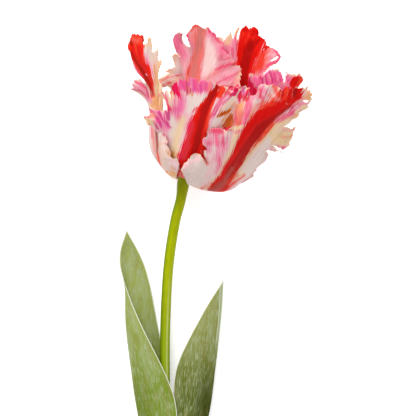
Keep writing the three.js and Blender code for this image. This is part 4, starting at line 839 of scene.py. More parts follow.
def sheet_object(name, middle, half, top, bottom, rim, uv, floats):
    """A closed sheet: two skins, each half a thickness from the middle, and a wall on the rim's edges."""
    count = len(middle)
    p, q = rim[:, 0], rim[:, 1]
    wall = np.stack([q, p, p + count, q + count], axis=1)
    faces = top.tolist() + (bottom + count).tolist() + wall.tolist()
    both = {key: np.tile(values, 2) for key, values in floats.items()}
    return make_object(name, np.concatenate([middle + half, middle - half]), faces, np.tile(uv, (2, 1)), both)


def loft_object(name, line, radius, sides, floats=None, lobes=None):
    """A closed round body along a line of centres, with a radius and a depth of its three lobes for each."""
    tangent = np.gradient(line, axis=0)
    tangent /= np.linalg.norm(tangent, axis=1, keepdims=True)
    side = np.cross(tangent, [0.0, 0.0, 1.0])
    side /= np.linalg.norm(side, axis=1, keepdims=True)
    front = np.cross(side, tangent)
    count = len(line)
    angle = np.linspace(0, 2 * math.pi, sides, endpoint=False)
    depth = np.zeros(count) if lobes is None else lobes
    swell = 1 + depth[:, None] * np.cos(3 * angle)[None, :]
    ring = np.cos(angle)[None, :, None] * side[:, None] + np.sin(angle)[None, :, None] * front[:, None]
    vertices = line[:, None] + ring * (radius[:, None] * swell)[..., None]
    index = np.arange(count * sides).reshape(count, sides)
    a, b = index[:-1], np.roll(index, -1, axis=1)[:-1]
    c, d = np.roll(index, -1, axis=1)[1:], index[1:]
    faces = np.stack([a, d, c, b], axis=2).reshape(-1, 4).tolist()
    faces += [index[0].tolist(), index[-1][::-1].tolist()]
    along = np.linspace(0, travelled(line)[-1], count)
    around = np.linspace(0, 2 * math.pi * radius.mean(), sides)
    uv = np.stack(np.meshgrid(around, along), axis=2).reshape(-1, 2)
    values = {key: np.repeat(value, sides) for key, value in (floats or {}).items()}
    return make_object(name, vertices.reshape(-1, 3), faces, uv, values)


# ---------------------------------------------------------------- materials


def add_node(tree, kind, inputs=(), out=0, **settings):
    """Adds one node with its settings, fills its inputs with values or links and gives back an output."""
    made = tree.nodes.new(f"ShaderNode{kind}")
    for key, value in settings.items():
        setattr(made, key, value)
    for key, value in inputs.items() if isinstance(inputs, dict) else enumerate(inputs):
        if isinstance(value, bpy.types.NodeSocket):
            tree.links.new(value, made.inputs[key])
        else:
            made.inputs[key].default_value = value
    return made.outputs[out] if made.outputs else None


def new_material(name):
    """An empty material and its node tree."""
    material = bpy.data.materials.new(name)
    material.use_nodes = True
    material.node_tree.nodes.clear()
    return material, material.node_tree


def rgba(colour):
    """A colour with full opacity."""
    return (*tuple(colour)[:3], 1.0)


def grain_patterns(tree, coordinates, millimetre, grains):
    """Noise patterns of real sizes; millimetre is how long one is in the coordinates."""
    made = {}
    for name, (*sizes, detail, roughness) in grains.items():
        scale = tuple(1 / (size * millimetre) for size in sizes)
        placed = add_node(tree, "Mapping", {"Vector": coordinates, "Scale": scale})
        made[name] = add_node(tree, "TexNoise", {
            "Vector": placed, "Scale": 1.0, "Detail": detail, "Roughness": roughness})
    return made


def work_out(tree, known, rows):
    """Adds rows to the known values: a name, a smooth RAMP or an operation, and terms by name or number."""
    # A ramp's terms are a value, the two values it runs between and, where they aren't 0 and 1, what it
    # gives there
    for name, operation, *terms in rows:
        terms = [known.get(term, term) for term in terms]
        if operation == "RAMP":
            known[name] = add_node(tree, "MapRange", terms, interpolation_type="SMOOTHSTEP")
        else:
            known[name] = add_node(tree, "Math", terms, operation=operation)


def layered(tree, known, colour, layers):
    """Colours laid over the first one, each by its known share, and the whole multiplied by the tone."""
    # A mix of colours has its share at input 0, its colours at 6 and 7 and what it gives at output 2
    for share, over in layers:
        colour = add_node(tree, "Mix", {0: known[share], 6: colour, 7: rgba(over)}, 2, data_type="RGBA")
    grey = add_node(tree, "CombineColor", [known["tone"]] * 3)
    return add_node(tree, "Mix", {0: 1.0, 6: colour, 7: grey}, 2, data_type="RGBA", blend_type="MULTIPLY")


def leafy_shader(tree, colour, height, strength, relief, roughness, gloss, through):
    """Thin plant tissue: a satin surface with a relief in mm that lets a share of the light through."""
    bump = add_node(tree, "Bump", {"Height": height, "Strength": strength, "Distance": relief * MM})
    surface = add_node(tree, "BsdfPrincipled", {
        "Base Color": colour, "Roughness": roughness, "IOR": TISSUE_IOR, "Specular IOR Level": gloss,
        "Normal": bump})
    back = add_node(tree, "BsdfTranslucent", {"Color": colour})
    both = add_node(tree, "MixShader", (through, surface, back))
    add_node(tree, "OutputMaterial", {"Surface": both})


def tepal_material(name, tepal, settings):
    """Fresh tepal, feathered in its colours."""
    # Living petal tissue is thin and cool with a satin skin: highlights are broad and faint, colours run
    # out in streaks along the veins, and light from behind warms them
    material, tree = new_material(name)
    skin = add_node(tree, "UVMap", uv_map="UVMap")
    place = add_node(tree, "TexCoord", out="Object")
    known = {**grain_patterns(tree, skin, 1.0, TEPAL_GRAINS), **grain_patterns(tree, place, MM, CLOUD_GRAINS),
             "from_rim": add_node(tree, "Attribute", out="Fac", attribute_name="from_rim")}
    work_out(tree, known, (
        ("tint", "RAMP", "streak", *NOISE_SPAN),
        ("run", "RAMP", "streak", *NOISE_SPAN, -1.0, 1.0),
        ("drift", "RAMP", "cloud", *NOISE_SPAN, -0.4, 0.4),
        ("wander", "ADD", "run", "drift"),
        # The last mm at the rim turns cream: partly the fringe's own cream, partly a painted highlight along
        # the thin edge
        ("cream_and_highlight_edge", "RAMP", "from_rim", 1.1, 0.2, 0.0, 0.6),
        ("tone", "RAMP", "hair", *NOISE_SPAN, 0.86, 1.06),
        ("fine", "MULTIPLY", "hair", 0.4),
        ("relief", "MULTIPLY_ADD", "streak", 0.6, "fine")))
    layers = [("tint", getattr(settings, tepal["base"])), ("cream_and_highlight_edge", settings.cream)]
    for index, (hue, soft, feather, strength, _) in enumerate(tepal["paints"]):
        paint = f"paint_{index}"
        known[paint] = add_node(tree, "Attribute", out="Fac", attribute_name=paint)
        work_out(tree, known, (
            (paint, "MULTIPLY_ADD", "wander", feather, paint),
            (paint, "RAMP", paint, -soft, soft, 0.0, strength)))
        layers.append((paint, getattr(settings, hue)))
    colour = layered(tree, known, rgba(getattr(settings, tepal["ground"])), layers)
    leafy_shader(tree, colour, known["relief"], strength=0.5, relief=0.15, roughness=0.5, gloss=0.08,
                 through=0.12)
    return material


def leaf_material(name, settings, tip, foot, strip, strip_low, strip_high):
    """Tulip leaf under its wax bloom."""
    # A leaf's green shows through thin grey wax that is rubbed off in short lines: it looks matt, cool
    # and streaky along its parallel veins, with a hard pale edge and a pale strip along the keel
    material, tree = new_material(name)
    skin = add_node(tree, "UVMap", uv_map="UVMap")
    place = add_node(tree, "TexCoord", out="Object")
    known = {**grain_patterns(tree, skin, 1.0, LEAF_GRAINS),
             "beside": add_node(tree, "SeparateXYZ", [skin], "X"),
             "height": add_node(tree, "SeparateXYZ", [place], "Y"),
             "from_edge": add_node(tree, "Attribute", out="Fac", attribute_name="from_edge")}
    low, high = LEAF_FOOT * MM, LEAF_TIP * MM
    work_out(tree, known, (
        ("green", "RAMP", "height", low, high),
        ("worn", "RAMP", "stain", 0.5, 0.68, 0.0, 0.5),
        # Painted shade darkens the fold along the keel, most of all at the foot
        ("fold", "RAMP", "beside", -17.0, -4.0),
        ("shade", "RAMP", "height", low, 0.3 * low, 1.0, 0.2),
        ("keel_shade", "MULTIPLY", "fold", "shade"),
        ("keel_shade", "MULTIPLY", "keel_shade", strip),
        # Wax lies in patches and in dashes, and is thin at the foot and along the edge; in the keel's painted
        # shade it is thinned as well, which darkens the green there
        ("patches", "RAMP", "wax", 0.36, 0.66, 0.04, 0.5),
        ("upward", "RAMP", "height", low, 0.0, 0.5, 1.0),
        ("waxed", "MULTIPLY", "patches", "upward"),
        ("dashes", "RAMP", "dash", 0.5, 0.66, 0.0, 0.55),
        ("waxed", "ADD", "waxed", "dashes"),
        ("inward", "RAMP", "from_edge", 0.5, 4.0, 0.35, 1.0),
        ("waxed", "MULTIPLY", "waxed", "inward"),
        ("open", "MULTIPLY_ADD", "keel_shade", -0.8, 1.0),
        ("waxed", "MULTIPLY", "waxed", "open"),
        # The keel's strip has a pale line along both its sides
        ("left", "RAMP", "beside", -2.4, -2.0),
        ("right", "RAMP", "beside", -0.1, 0.3, 1.0, 0.0),
        ("keel", "MULTIPLY", "left", "right"),
        ("left", "RAMP", "beside", -1.9, -1.6, 1.0, 0.0),
        ("right", "RAMP", "beside", -0.6, -0.3),
        ("lines", "ADD", "left", "right"),
        ("lines", "MULTIPLY", "keel", "lines"),
        ("start", "RAMP", "height", strip_low * MM, (strip_low + STRIP_START) * MM, 0.0, strip),
        ("end", "RAMP", "height", strip_high * MM, (strip_high + STRIP_END) * MM, 1.0, 0.0),
        ("strip", "MULTIPLY", "start", "end"),
        ("keel", "MULTIPLY", "keel", "strip"),
        ("lines", "MULTIPLY", "lines", "strip"),
        ("veined", "RAMP", "vein", *NOISE_SPAN, 0.94, 1.03),
        ("tone", "RAMP", "cell", 0.3, 0.7, 0.9, 1.08),
        ("tone", "MULTIPLY", "veined", "tone"),
        # Painted shade lowers the tone along the keel
        ("open", "MULTIPLY_ADD", "keel_shade", -0.6, 1.0),
        ("tone", "MULTIPLY", "tone", "open"),
        ("hard_edge", "RAMP", "from_edge", 0.8, 0.35)))
    colour = layered(tree, known, rgba(foot), (
        ("green", tip), ("worn", settings.stain), ("waxed", settings.wax), ("keel", settings.wax),
        ("lines", settings.margin)))
    colour = add_node(tree, "Mix", {0: known["hard_edge"], 6: colour, 7: rgba(settings.margin)}, 2,
                      data_type="RGBA")
    leafy_shader(tree, colour, known["vein"], strength=0.5, relief=0.15, roughness=0.55, gloss=0.06,
                 through=0.08)
    return material


def stem_material(name, settings):
    """Tulip stalk, smooth and juicy."""
    # A full stalk has a tight skin: a narrow soft gleam over faint ribs, painted shade that deepens the green
    # of its flanks, and a painted highlight as a pale line down its front
    material, tree = new_material(name)
    skin = add_node(tree, "UVMap", uv_map="UVMap")
    known = {**grain_patterns(tree, skin, 1.0, STALK_GRAINS),
             "around": add_node(tree, "SeparateXYZ", [skin], "X"),
             "height": add_node(tree, "Attribute", out="Fac", attribute_name="height")}
    work_out(tree, known, (
        ("middle", "RAMP", "height", -60.0, 60.0),
        ("neck", "RAMP", "height", 70.0, 98.0),
        # Painted shade: the green deepens towards both flanks
        ("left", "RAMP", "around", 6.2, 9.6),
        ("right", "RAMP", "around", 0.6, 2.6, 0.45, 0.0),
        ("shaded_flank", "MAXIMUM", "left", "right"),
        ("shaded_flank", "MULTIPLY", "shaded_flank", 0.8),
        # Painted highlight: a pale line down the front, lower down only
        ("left", "RAMP", "around", 2.9, 3.8),
        ("right", "RAMP", "around", 4.2, 5.0, 1.0, 0.0),
        ("line", "MULTIPLY", "left", "right"),
        ("lower", "RAMP", "height", 45.0, 0.0, 0.0, 0.6),
        ("line", "MULTIPLY", "line", "lower"),
        ("ribbed", "MULTIPLY", "rib", 0.5),
        ("tone", "MULTIPLY_ADD", "mottle", 0.5, "ribbed"),
        ("tone", "RAMP", "tone", *NOISE_SPAN, 0.9, 1.08)))
    colour = layered(tree, known, rgba(settings.low), (
        ("middle", settings.middle), ("neck", settings.high), ("shaded_flank", settings.shaded_flank),
        ("line", settings.waxy_line)))
    leafy_shader(tree, colour, known["rib"], strength=0.4, relief=0.1, roughness=0.4, gloss=0.1, through=0.05)
    return material


def grain_material(name, light, dark, grain, roughness):
    """Pollen or the skin of an ovary."""
    # Both are covered with fine grains that scatter the light: a dry, even look with no clear highlight
    material, tree = new_material(name)
    place = add_node(tree, "TexCoord", out="Object")
    known = grain_patterns(tree, place, MM, {"grain": (grain, grain, grain, 3.0, 0.5)})
    work_out(tree, known, [("mixed", "RAMP", "grain", *NOISE_SPAN)])
    colour = add_node(tree, "Mix", {0: known["mixed"], 6: rgba(dark), 7: rgba(light)}, 2, data_type="RGBA")
    leafy_shader(tree, colour, known["grain"], strength=0.6, relief=0.2, roughness=roughness, gloss=0.3,
                 through=0.05)
    return material


def paper_material(name, settings):
    """Matt white paper."""
    # Uncoated paper has no gleam and hardly visible fibres; light through it lifts the flower's shadow
    material, tree = new_material(name)
    known = grain_patterns(tree, add_node(tree, "TexCoord", out="Object"), MM, PAPER_GRAINS)
    work_out(tree, known, [("tone", "RAMP", "fibre", 0.2, 0.8, 0.985, 1.0)])
    colour = layered(tree, known, rgba(settings.floor), ())
    paper = add_node(tree, "BsdfPrincipled", {
        "Base Color": colour, "Roughness": 0.9, "Emission Color": WHITE_LIGHT,
        "Emission Strength": settings.glow})
    add_node(tree, "OutputMaterial", {"Surface": paper})
    return material


# ---------------------------------------------------------------- tepals and leaves


def stroke_depth(points, stroke):
    """How far inside a stroke each point lies seen from above; the stroke's points are x, y, half width."""
    depth = np.full(points.shape[:-1], FAR_OUTSIDE)
    for (x0, y0, r0), (x1, y1, r1) in zip(stroke, stroke[1:]):
        step = np.array([x1 - x0, y1 - y0])
        away = points[..., :2] - np.array([x0, y0])
        share = np.clip(away @ step / (step @ step), 0.0, 1.0)
        gap = np.linalg.norm(away - share[..., None] * step, axis=-1)
        depth = np.maximum(depth, r0 + (r1 - r0) * share - gap)
    return depth


def tepal_net(tepal):
    """The vein net with its first row of points on the receptacle."""
    first, last, radius, height = tepal["seat"]
    degrees = np.linspace(first, last, len(tepal["veins"]))
    seats = [around_bloom(angle, radius, height) for angle in degrees]
    return np.array([[seat, *vein] for seat, vein in zip(seats, tepal["veins"])])


def laid_flat(net, outline, widths, length, near=0.0):
    """An outline seen from above, laid on the tepal's flat sheet, in mm across and along."""
    places = places_on_net(net, outline, near)
    return np.stack([np.interp(places[:, 0], np.arange(len(net)), widths), places[:, 1] * length], axis=1)


def toothed(flat, height, width, seed):
    """A rim on a flat sheet of the given width, cut into teeth of the given height."""
    line = stepped(flat, RIM_STEP)
    far = travelled(line)
    small_width, small_height = SMALL_TOOTH
    teeth = (np.abs(ripple(far / TOOTH_WIDTH, seed))
             + small_height * ripple(far / (small_width * TOOTH_WIDTH), seed + 1) - TOOTH_SINK)
    ahead = unit(np.gradient(line, axis=0))
    inward = np.stack([ahead[:, 1], -ahead[:, 0]], axis=1)
    line = line + inward * (height * teeth)[:, None]
    line[:, 0] = np.clip(line[:, 0], 0.0, width)
    return line


def cut_out(outline, holes, width, length):
    """Points and triangles of a flat sheet that fills its outline and leaves its holes open."""
    border = np.concatenate([outline, *holes])
    x, y = np.meshgrid(*(np.arange(0.5 * GRID_STEP, size, GRID_STEP) for size in (width, length)))
    inner = np.stack([x.ravel(), y.ravel()], axis=1)
    inner = inner[inside_loop(inner, outline)]
    inner = inner[distance_to_line(inner, border) > RIM_CLEARANCE]
    edges = []
    start = 0
    for loop in [outline, *holes]:
        count = len(loop)
        edges += [(start + k, start + (k + 1) % count) for k in range(count)]
        start += count
    points = [Vector(point) for point in np.concatenate([border, inner]).tolist()]
    made = delaunay_2d_cdt(points, edges, [], 0, 1e-5, False)
    flat = np.array([tuple(point) for point in made[0]])
    triangles = np.array(made[2])
    centres = flat[triangles].mean(axis=1)
    kept = inside_loop(centres, outline)
    for hole in holes:
        kept &= ~inside_loop(centres, hole)
    used, triangles = np.unique(triangles[kept], return_inverse=True)
    return flat[used], triangles.reshape(-1, 3)


def open_edges(triangles):
    """The edges that only one triangle has."""
    edges = np.concatenate([triangles[:, [k, (k + 1) % 3]] for k in range(3)])
    known = {tuple(edge) for edge in edges.tolist()}
    return np.array([(p, q) for p, q in known if (q, p) not in known])


def tepal_object(name, tepal, sizes, seed):
    """A tepal: cut out flat along its rim, laid on its vein net, then waved, ribbed and thickened."""
    net = tepal_net(tepal)
    ends = np.arange(len(net))
    widths = travelled(net_points(net, ends, np.full(len(net), BELLY)))
    length = np.mean([travelled(net_points(net, vein, np.linspace(0, 1, VEIN_STEPS)))[-1] for vein in ends])
    width = widths[-1]
    flat_rim = laid_flat(net, tepal["rim"], widths, length)
    flat_rim[0, 0], flat_rim[-1, 0] = 0.0, width
    rim = toothed(flat_rim, sizes.fringe * tepal["fringe"], width, seed)
    holes = [laid_flat(net, outline, widths, length, vein) for vein, outline in tepal["holes"]]
    foot = stepped(np.array([rim[-1], [width, 0.0], [0.0, 0.0], rim[0]]), GRID_STEP)
    flat, triangles = cut_out(np.concatenate([rim[:-1], foot[:-1]]), holes, width, SHEET_REACH * length)

    across = np.interp(flat[:, 0], widths, ends)
    along = flat[:, 1] / length
    surface = net_points(net, across, along)
    normals = net_normals(net, across, along)
    shown = seen_from_above(surface)
    floats = {"from_rim": distance_to_line(flat, np.concatenate([rim, *holes]))}
    for index, (_, _, _, _, strokes) in enumerate(tepal["paints"]):
        floats[f"paint_{index}"] = np.max([stroke_depth(shown, stroke) for stroke in strokes], axis=0)

    loose = smoothstep(RUFFLE_REACH, 0.0, floats["from_rim"])
    rise = smoothstep(*RISE, along)
    small_width, small_height = SMALL_WAVE
    along_waves, along_ribs = flat * np.array([1.0, WAVE_STRETCH]), flat * np.array([1.0, RIB_STRETCH])
    wave = clouds(along_waves, RUFFLE_WIDTH, seed + 2)
    small = clouds(along_waves, small_width * RUFFLE_WIDTH, seed + 3)
    rib = clouds(along_ribs, PLEAT_WIDTH, seed + 4)
    lift = (sizes.ruffle * tepal["ruffle"] * rise
            * ((WAVE_SHARES[0] + WAVE_SHARES[1] * loose) * wave + small_height * loose * small))
    lift = lift + sizes.pleat * tepal["pleat"] * rise * (RIB_SHARES[0] + RIB_SHARES[1] * loose) * rib
    for index, (hue, *_) in enumerate(tepal["paints"]):
        if hue == "core":
            lift = lift - sizes.midrib * smoothstep(*MIDRIB_SLOPE, floats[f"paint_{index}"])
    middle = surface + normals * lift[:, None]
    middle[:, 2] = np.maximum(middle[:, 2], TEPAL_CLEARANCE)
    thicker = sizes.base_thickness - sizes.rim_thickness
    thickness = sizes.rim_thickness + thicker * smoothstep(0.0, THICKENING, floats["from_rim"])
    half = normals * thickness[:, None] / 2
    return sheet_object(
        name, middle, half, triangles, triangles[:, ::-1], open_edges(triangles), flat, floats)


def leaf_object(name, net, columns, rows, sizes):
    """A folded leaf with grooved veins and a gently waved margin."""
    net = np.array(net, dtype=float)
    grid = net_points(net, np.linspace(0, len(net) - 1, columns)[:, None], np.linspace(0, 1, rows)[None, :])
    lengths = np.linalg.norm(np.diff(grid, axis=1), axis=2)
    steps = np.linalg.norm(np.diff(grid, axis=0), axis=2)
    across = np.concatenate([np.zeros((1, rows)), np.cumsum(steps, axis=0)])
    from_edge = np.minimum(across, across[-1] - across)
    along = np.concatenate([np.zeros((columns, 1)), np.cumsum(lengths, axis=1)], axis=1)
    beside = across - across[columns // 2]
    groove = sizes.vein_relief * ripple(beside / sizes.vein_spacing, GROOVE_SEED)
    swell = (sizes.wave * ripple(along / MARGIN_WAVE_LENGTH, MARGIN_SEED)
             * smoothstep(MARGIN_WAVE_REACH, 0, from_edge))
    middle = grid + grid_normals(grid) * (groove + swell)[..., None]
    middle[..., 2] = np.maximum(middle[..., 2], LEAF_CLEARANCE)
    thinned = MARGIN_SHARES[0] + MARGIN_SHARES[1] * smoothstep(0, MARGIN_TAPER, from_edge)
    thickness = sizes.thickness * thinned
    half = grid_normals(middle) * thickness[..., None] / 2

    index = np.arange(columns * rows).reshape(columns, rows)
    a, b = index[:-1, :-1].ravel(), index[1:, :-1].ravel()
    c, d = index[1:, 1:].ravel(), index[:-1, 1:].ravel()
    edge = np.concatenate([index[:-1, 0], index[-1, :-1], index[:0:-1, -1], index[0, :0:-1]])
    return sheet_object(
        name, middle.reshape(-1, 3), half.reshape(-1, 3), np.stack([a, b, c, d], axis=1),
        np.stack([a, d, c, b], axis=1), np.stack([edge, np.roll(edge, -1)], axis=1),
        np.stack([beside, along], axis=2).reshape(-1, 2), {"from_edge": from_edge.ravel()})


def grid_normals(grid):
    """Directions that stand upright on a grid of points."""
    return unit(np.cross(np.gradient(grid, axis=0), np.gradient(grid, axis=1)))


# ---------------------------------------------------------------- settings


def length_property(name, text, default, low=0.0):
    """A length whose default and lowest value are given in mm."""
    return FloatProperty(
        name=name, description=text, default=default * MM, min=low * MM, precision=4, unit="LENGTH")


def colour_property(name, text, code):
    """A colour from its sRGB hex value."""
    return FloatVectorProperty(
        name=name, description=text, subtype="COLOR", size=3, min=0.0, max=1.0, default=linear(code))


def light_property(name, text, default, subtype="NONE"):
    """The power of a light in watts, or the strength of an even glow."""
    return FloatProperty(name=name, description=text, default=default, min=0.0, subtype=subtype)


class TulipTepalSettings(bpy.types.PropertyGroup):
    base_thickness: length_property("Base thickness", "Thickness at the receptacle", 0.9)
    rim_thickness: length_property("Rim thickness", "Thickness at the fringe", 0.35)
    fringe: length_property("Fringe", "Length of the small teeth", 0.6)
    ruffle: length_property("Ruffle", "Height of the waves along the rim", 1.8)
    pleat: length_property("Pleat", "Height of the fine ribs that run along the veins", 0.3)
    midrib: length_property("Midrib", "Depth of the channel along the flame", 0.9)
    flame: colour_property("Flame", "Red of the flames", "#DA0E0A")
    ruby: colour_property("Ruby", "Clear red of the brighter flames", "#E4160E")
    cherry: colour_property("Cherry", "Pinkish red beside a flame's middle", "#E23440")
    fuchsia: colour_property("Fuchsia", "Hot pink of the right frill", "#FF74AE")
    core: colour_property("Core", "Dark middle of the flames", "#AE120F")
    dusk: colour_property("Dusk", "Brownish foot of the flames", "#AE4C42")
    scarlet: colour_property("Scarlet", "Orange red of margins and folded tips", "#EC3C26")
    salmon: colour_property("Salmon", "Light red of rolled rims", "#FF9E98")
    coral: colour_property("Coral", "Stripe on the inner face", "#F2827A")
    clay: colour_property("Clay", "Greyish middle of the coral stripe", "#DC8A82")
    crimson: colour_property("Crimson", "Hot pink of the frills' ends", "#E61A54")
    magenta: colour_property("Magenta", "Deep pink of fine lines", "#DC3E84")
    rose: colour_property("Rose", "Strong pink streaks", "#EE5680")
    violet: colour_property("Violet", "Violet pink of the upper frills", "#E8649E")
    pink: colour_property("Pink", "Soft pink", "#F094AE")
    blush: colour_property("Blush", "Palest pink", "#F2B8C2")
    white: colour_property("White", "Ivory ground", "#E6D2CA")
    cream: colour_property("Cream", "Cream edges", "#EECFA2")
    apricot: colour_property("Apricot", "Warm patches", "#EEAA74")
    amber: colour_property("Amber", "Orange brown specks", "#E09020")
    # Pearl is the ivory ground brightened as painted light, for faces that take more light
    pearl: colour_property("Pearl", "Bright ivory of the inner faces", "#FAE6E2")
    # On the cup's floor, umber is its warm colour darkened as painted shade
    umber: colour_property("Umber", "Orange brown of the cup's floor", "#D0660C")


class TulipLeafSettings(bpy.types.PropertyGroup):
    columns: IntProperty(name="Columns", description="Points across a leaf", default=100, min=20)
    rows: IntProperty(name="Rows", description="Points along a leaf", default=160, min=20)
    thickness: length_property("Thickness", "Thickness of the blade", 0.8)
    vein_spacing: length_property("Vein spacing", "Distance between the parallel veins", 1.1, 0.2)
    vein_relief: length_property("Vein relief", "Height of the veins", 0.06)
    wave: length_property("Wave", "Height of the waves along the margin", 0.5)
    wax: colour_property("Wax", "Grey-green wax bloom", "#AAB78C")
    tip: colour_property("Tip", "Green of the lower leaf's tip", "#9CA652")
    foot: colour_property("Foot", "Green of the lower leaf's foot", "#748A1A")
    shaded_tip: colour_property("Upper tip", "Green of the upper leaf's tip", "#989B52")
    shaded_foot: colour_property("Upper foot", "Olive of the upper leaf's foot", "#525C00")
    stain: colour_property("Stain", "Brownish places where the wax is worn", "#908848")
    margin: colour_property("Margin", "Hard pale edge", "#DDE0CC")


class TulipStemSettings(bpy.types.PropertyGroup):
    radius: length_property("Radius", "Radius of the stalk", 3.4, 1.0)
    receptacle: length_property("Receptacle radius", "Radius of the swollen top", 4.2, 1.0)
    low: colour_property("Lower stalk", "Green at the cut end", "#7E9616")
    middle: colour_property("Stalk", "Yellow green", "#A4AE00")
    # Painted shade on the stalk's flanks
    shaded_flank: colour_property("Flank", "Deeper green of the flank", "#6C8400")
    # Painted highlight down the stalk's front
    waxy_line: colour_property("Waxy line", "Pale line down the front", "#C4CC7C")
    high: colour_property("Neck", "Darker green under the bloom", "#8A9200")


class TulipHeartSettings(bpy.types.PropertyGroup):
    ovary: colour_property("Ovary", "Yellow green of the pistil's skin", "#C4C46C")
    ovary_shade: colour_property("Ovary's shade", "Green between the grains of its skin", "#98A04A")
    pollen: colour_property("Pollen", "Brown violet of the stamens' pollen", "#5A3C3A")
    pollen_shade: colour_property("Pollen's shade", "Nearly black between the grains", "#2E1C20")


class TulipStageSettings(bpy.types.PropertyGroup):
    key_power: light_property("Key", "Power of the main soft light", 20.5, "POWER")
    fill_power: light_property("Fill", "Power of the fill light", 3.0, "POWER")
    sky: light_property("Sky", "Strength of the even light from all round", 0.70)
    glow: light_property("Glow", "Light that comes up through the floor's paper", 0.4)
    floor: colour_property("Floor", "Pale paper floor", "#FAFAFA")


def in_mm(settings):
    """The lengths of a group of settings, in mm and in the single precision that settings have."""
    kinds = settings.bl_rna.properties
    lengths = [key for key in settings.__annotations__ if getattr(kinds[key], "unit", "NONE") == "LENGTH"]
    return SimpleNamespace(**{
        key: float(np.float32(round(getattr(settings, key) / MM, 6))) for key in lengths})


SETTINGS = {
    "tulip_tepal": TulipTepalSettings,
    "tulip_leaf": TulipLeafSettings,
    "tulip_stem": TulipStemSettings,
    "tulip_heart": TulipHeartSettings,
    "tulip_stage": TulipStageSettings,
}


# ---------------------------------------------------------------- operators


def finish_piece(piece, material, node):
    """Gives a piece its material and its place in the frame."""
    piece.data.materials.append(material)
    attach(piece, "root")
    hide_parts(node)


class TULIP_OT_stem(bpy.types.Operator):
    """Builds the stalk and the receptacle on its top"""
    bl_idname = "tulip.stem"
    bl_label = "Build Stem"

    def execute(self, context):
        settings = context.scene.tulip_stem
        count, sides = STALK_MESH
        line = spline(STEM_LINE, np.linspace(0, len(STEM_LINE) - 1, count))
        far = travelled(line)
        to_top = far[-1] - far
        sizes = in_mm(settings)
        radius = sizes.radius + (sizes.receptacle - sizes.radius) * smoothstep(*SWELL_REACH, to_top)
        radius = radius * (1 + STALK_WANDER * ripple(far / STALK_WANDER_LENGTH, STALK_SEED))
        radius = radius - TOP_ROUNDING * smoothstep(TOP_REACH, 0, to_top)
        stem = loft_object("stem_stalk", line, radius, sides, {"height": line[:, 1]})
        finish_piece(stem, stem_material("tulip_stalk", settings), "stem")
        return {"FINISHED"}


class TULIP_OT_leaves(bpy.types.Operator):
    """Builds the two folded leaves that clasp the stalk"""
    bl_idname = "tulip.leaves"
    bl_label = "Build Leaves"

    def execute(self, context):
        settings = context.scene.tulip_leaf
        # Colours of the tip and the foot, the upper leaf's darkened as painted shade, then how clear the
        # keel's strip and how deep the keel's painted shade are, and the heights the strip runs between
        looks = {"leaf_left": (settings.tip, settings.foot, 0.3, -45.0, 18.0),
                 "leaf_right": (settings.shaded_tip, settings.shaded_foot, 0.85, -20.0, 60.0)}
        for node, look in looks.items():
            leaf = leaf_object(
                f"{node}_blade", LEAVES[node], settings.columns, settings.rows, in_mm(settings))
            finish_piece(leaf, leaf_material(f"waxy_{node}", settings, *look), node)
        return {"FINISHED"}


class TULIP_OT_tepals(bpy.types.Operator):
    """Builds the six ruffled and fringed tepals"""
    bl_idname = "tulip.tepals"
    bl_label = "Build Tepals"

    def execute(self, context):
        settings = context.scene.tulip_tepal
        for index, (node, tepal) in enumerate(TEPALS.items()):
            piece = tepal_object(
                f"{node}_blade", tepal, in_mm(settings), TEPAL_SEED + TEPAL_SEED_STEP * index)
            finish_piece(piece, tepal_material(f"flamed_{node}", tepal, settings), node)
        return {"FINISHED"}


class TULIP_OT_pistil(bpy.types.Operator):
    """Builds the three-sided ovary with its stigma"""
    bl_idname = "tulip.pistil"
    bl_label = "Build Pistil"

    def execute(self, context):
        settings = context.scene.tulip_heart
        count, sides = PISTIL_MESH
        height = np.linspace(0, PISTIL_PROFILE[-1][0], count)
        line = np.array([around_bloom(0, 0, PISTIL_FOOT + h) for h in height])
        radius = np.interp(height, *zip(*PISTIL_PROFILE))
        lobes = OVARY_LOBES + STIGMA_LOBES * smoothstep(*STIGMA_START, height)
        pistil = loft_object("pistil_ovary", line, radius, sides, lobes=lobes)
        material = grain_material(
            "ovary_skin", settings.ovary, settings.ovary_shade, OVARY_GRAIN, roughness=0.45)
        finish_piece(pistil, material, "pistil")
        return {"FINISHED"}


class TULIP_OT_stamens(bpy.types.Operator):
    """Builds the six stamens round the pistil"""
    bl_idname = "tulip.stamens"
    bl_label = "Build Stamens"

    def execute(self, context):
        settings = context.scene.tulip_heart
        count, sides = STAMEN_MESH
        material = grain_material(
            "dry_pollen", settings.pollen, settings.pollen_shade, POLLEN_GRAIN, roughness=0.85)
        for index in range(STAMEN_COUNT):
            degrees = (index + 0.5) * 360 / STAMEN_COUNT
            stops = [around_bloom(degrees, radius, height) for radius, height in STAMEN_LINE]
            line = spline(stops, np.linspace(0, len(stops) - 1, count))
            radius = np.interp(travelled(line), *zip(*STAMEN_PROFILE))
            stamen = loft_object(f"stamen_{index + 1}_anther", line, radius, sides)
            finish_piece(stamen, material, f"stamen_{index + 1}")
        return {"FINISHED"}


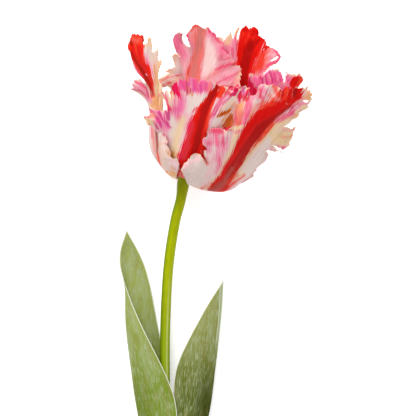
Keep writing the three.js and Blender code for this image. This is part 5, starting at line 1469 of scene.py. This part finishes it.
class TULIP_OT_stage(bpy.types.Operator):
    """Builds the pale floor, the soft lights and the camera that looks down on the flower"""
    bl_idname = "tulip.stage"
    bl_label = "Build Stage"

    def execute(self, context):
        settings = context.scene.tulip_stage
        scene = context.scene
        scene.view_settings.view_transform = "Standard"
        scene.world = bpy.data.worlds.new("soft_room")
        scene.world.use_nodes = True
        sky = scene.world.node_tree.nodes["Background"].inputs
        sky["Color"].default_value = WHITE_LIGHT
        sky["Strength"].default_value = settings.sky
        corners = np.array([(-1, -1, 0), (1, -1, 0), (1, 1, 0), (-1, 1, 0)])
        floor = make_object("paper_floor", corners * FLOOR_HALF / MM, [(0, 1, 2, 3)])
        floor.location.z = -FLOOR_DROP
        floor.data.materials.append(paper_material("matt_paper", settings))
        for name, (place, size) in SOFT_LIGHTS.items():
            light = bpy.data.lights.new(f"{name}_softbox", "AREA")
            light.energy = getattr(settings, f"{name}_power")
            light.shape = "DISK"
            light.size = size
            lamp = bpy.data.objects.new(light.name, light)
            lamp.location = place
            x, y, z = np.array(LIGHT_TARGET) - place
            lamp.rotation_euler = (math.atan2(math.hypot(x, y), -z), 0.0, math.atan2(y, x) - math.pi / 2)
            scene.collection.objects.link(lamp)
        camera = bpy.data.cameras.new("camera")
        camera.sensor_width = CAMERA_SENSOR
        camera.lens = CAMERA_LENS
        camera.clip_end = VIEW_DISTANCE
        eye = bpy.data.objects.new("camera", camera)
        eye.location = (CAMERA_X * MM, CAMERA_Y * MM, CAMERA_HEIGHT * MM)
        scene.collection.objects.link(eye)
        scene.camera = eye
        return {"FINISHED"}


BUILDERS = (TULIP_OT_stage, TULIP_OT_stem, TULIP_OT_leaves, TULIP_OT_tepals, TULIP_OT_pistil,
            TULIP_OT_stamens)


class TULIP_PT_panel(bpy.types.Panel):
    """Lists the tulip's settings and builders in the sidebar"""
    bl_idname = "TULIP_PT_panel"
    bl_label = "Parrot Tulip"
    bl_space_type = "VIEW_3D"
    bl_region_type = "UI"
    bl_category = "Tulip"

    def draw(self, context):
        for group in SETTINGS:
            box = self.layout.box()
            settings = getattr(context.scene, group)
            for key in settings.__annotations__:
                box.prop(settings, key)
        for builder in BUILDERS:
            self.layout.operator(builder.bl_idname)


CLASSES = (*SETTINGS.values(), *BUILDERS, TULIP_PT_panel)


def register():
    for made in CLASSES:
        bpy.utils.register_class(made)
    for name, group in SETTINGS.items():
        setattr(bpy.types.Scene, name, PointerProperty(type=group))


def unregister():
    for name in SETTINGS:
        delattr(bpy.types.Scene, name)
    for made in reversed(CLASSES):
        bpy.utils.unregister_class(made)


def main():
    """Registers the add-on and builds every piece."""
    register()
    for builder in BUILDERS:
        group, action = builder.bl_idname.split(".")
        getattr(getattr(bpy.ops, group), action)()
    bpy.context.view_layer.update()


if __name__ == "__main__":
    main()
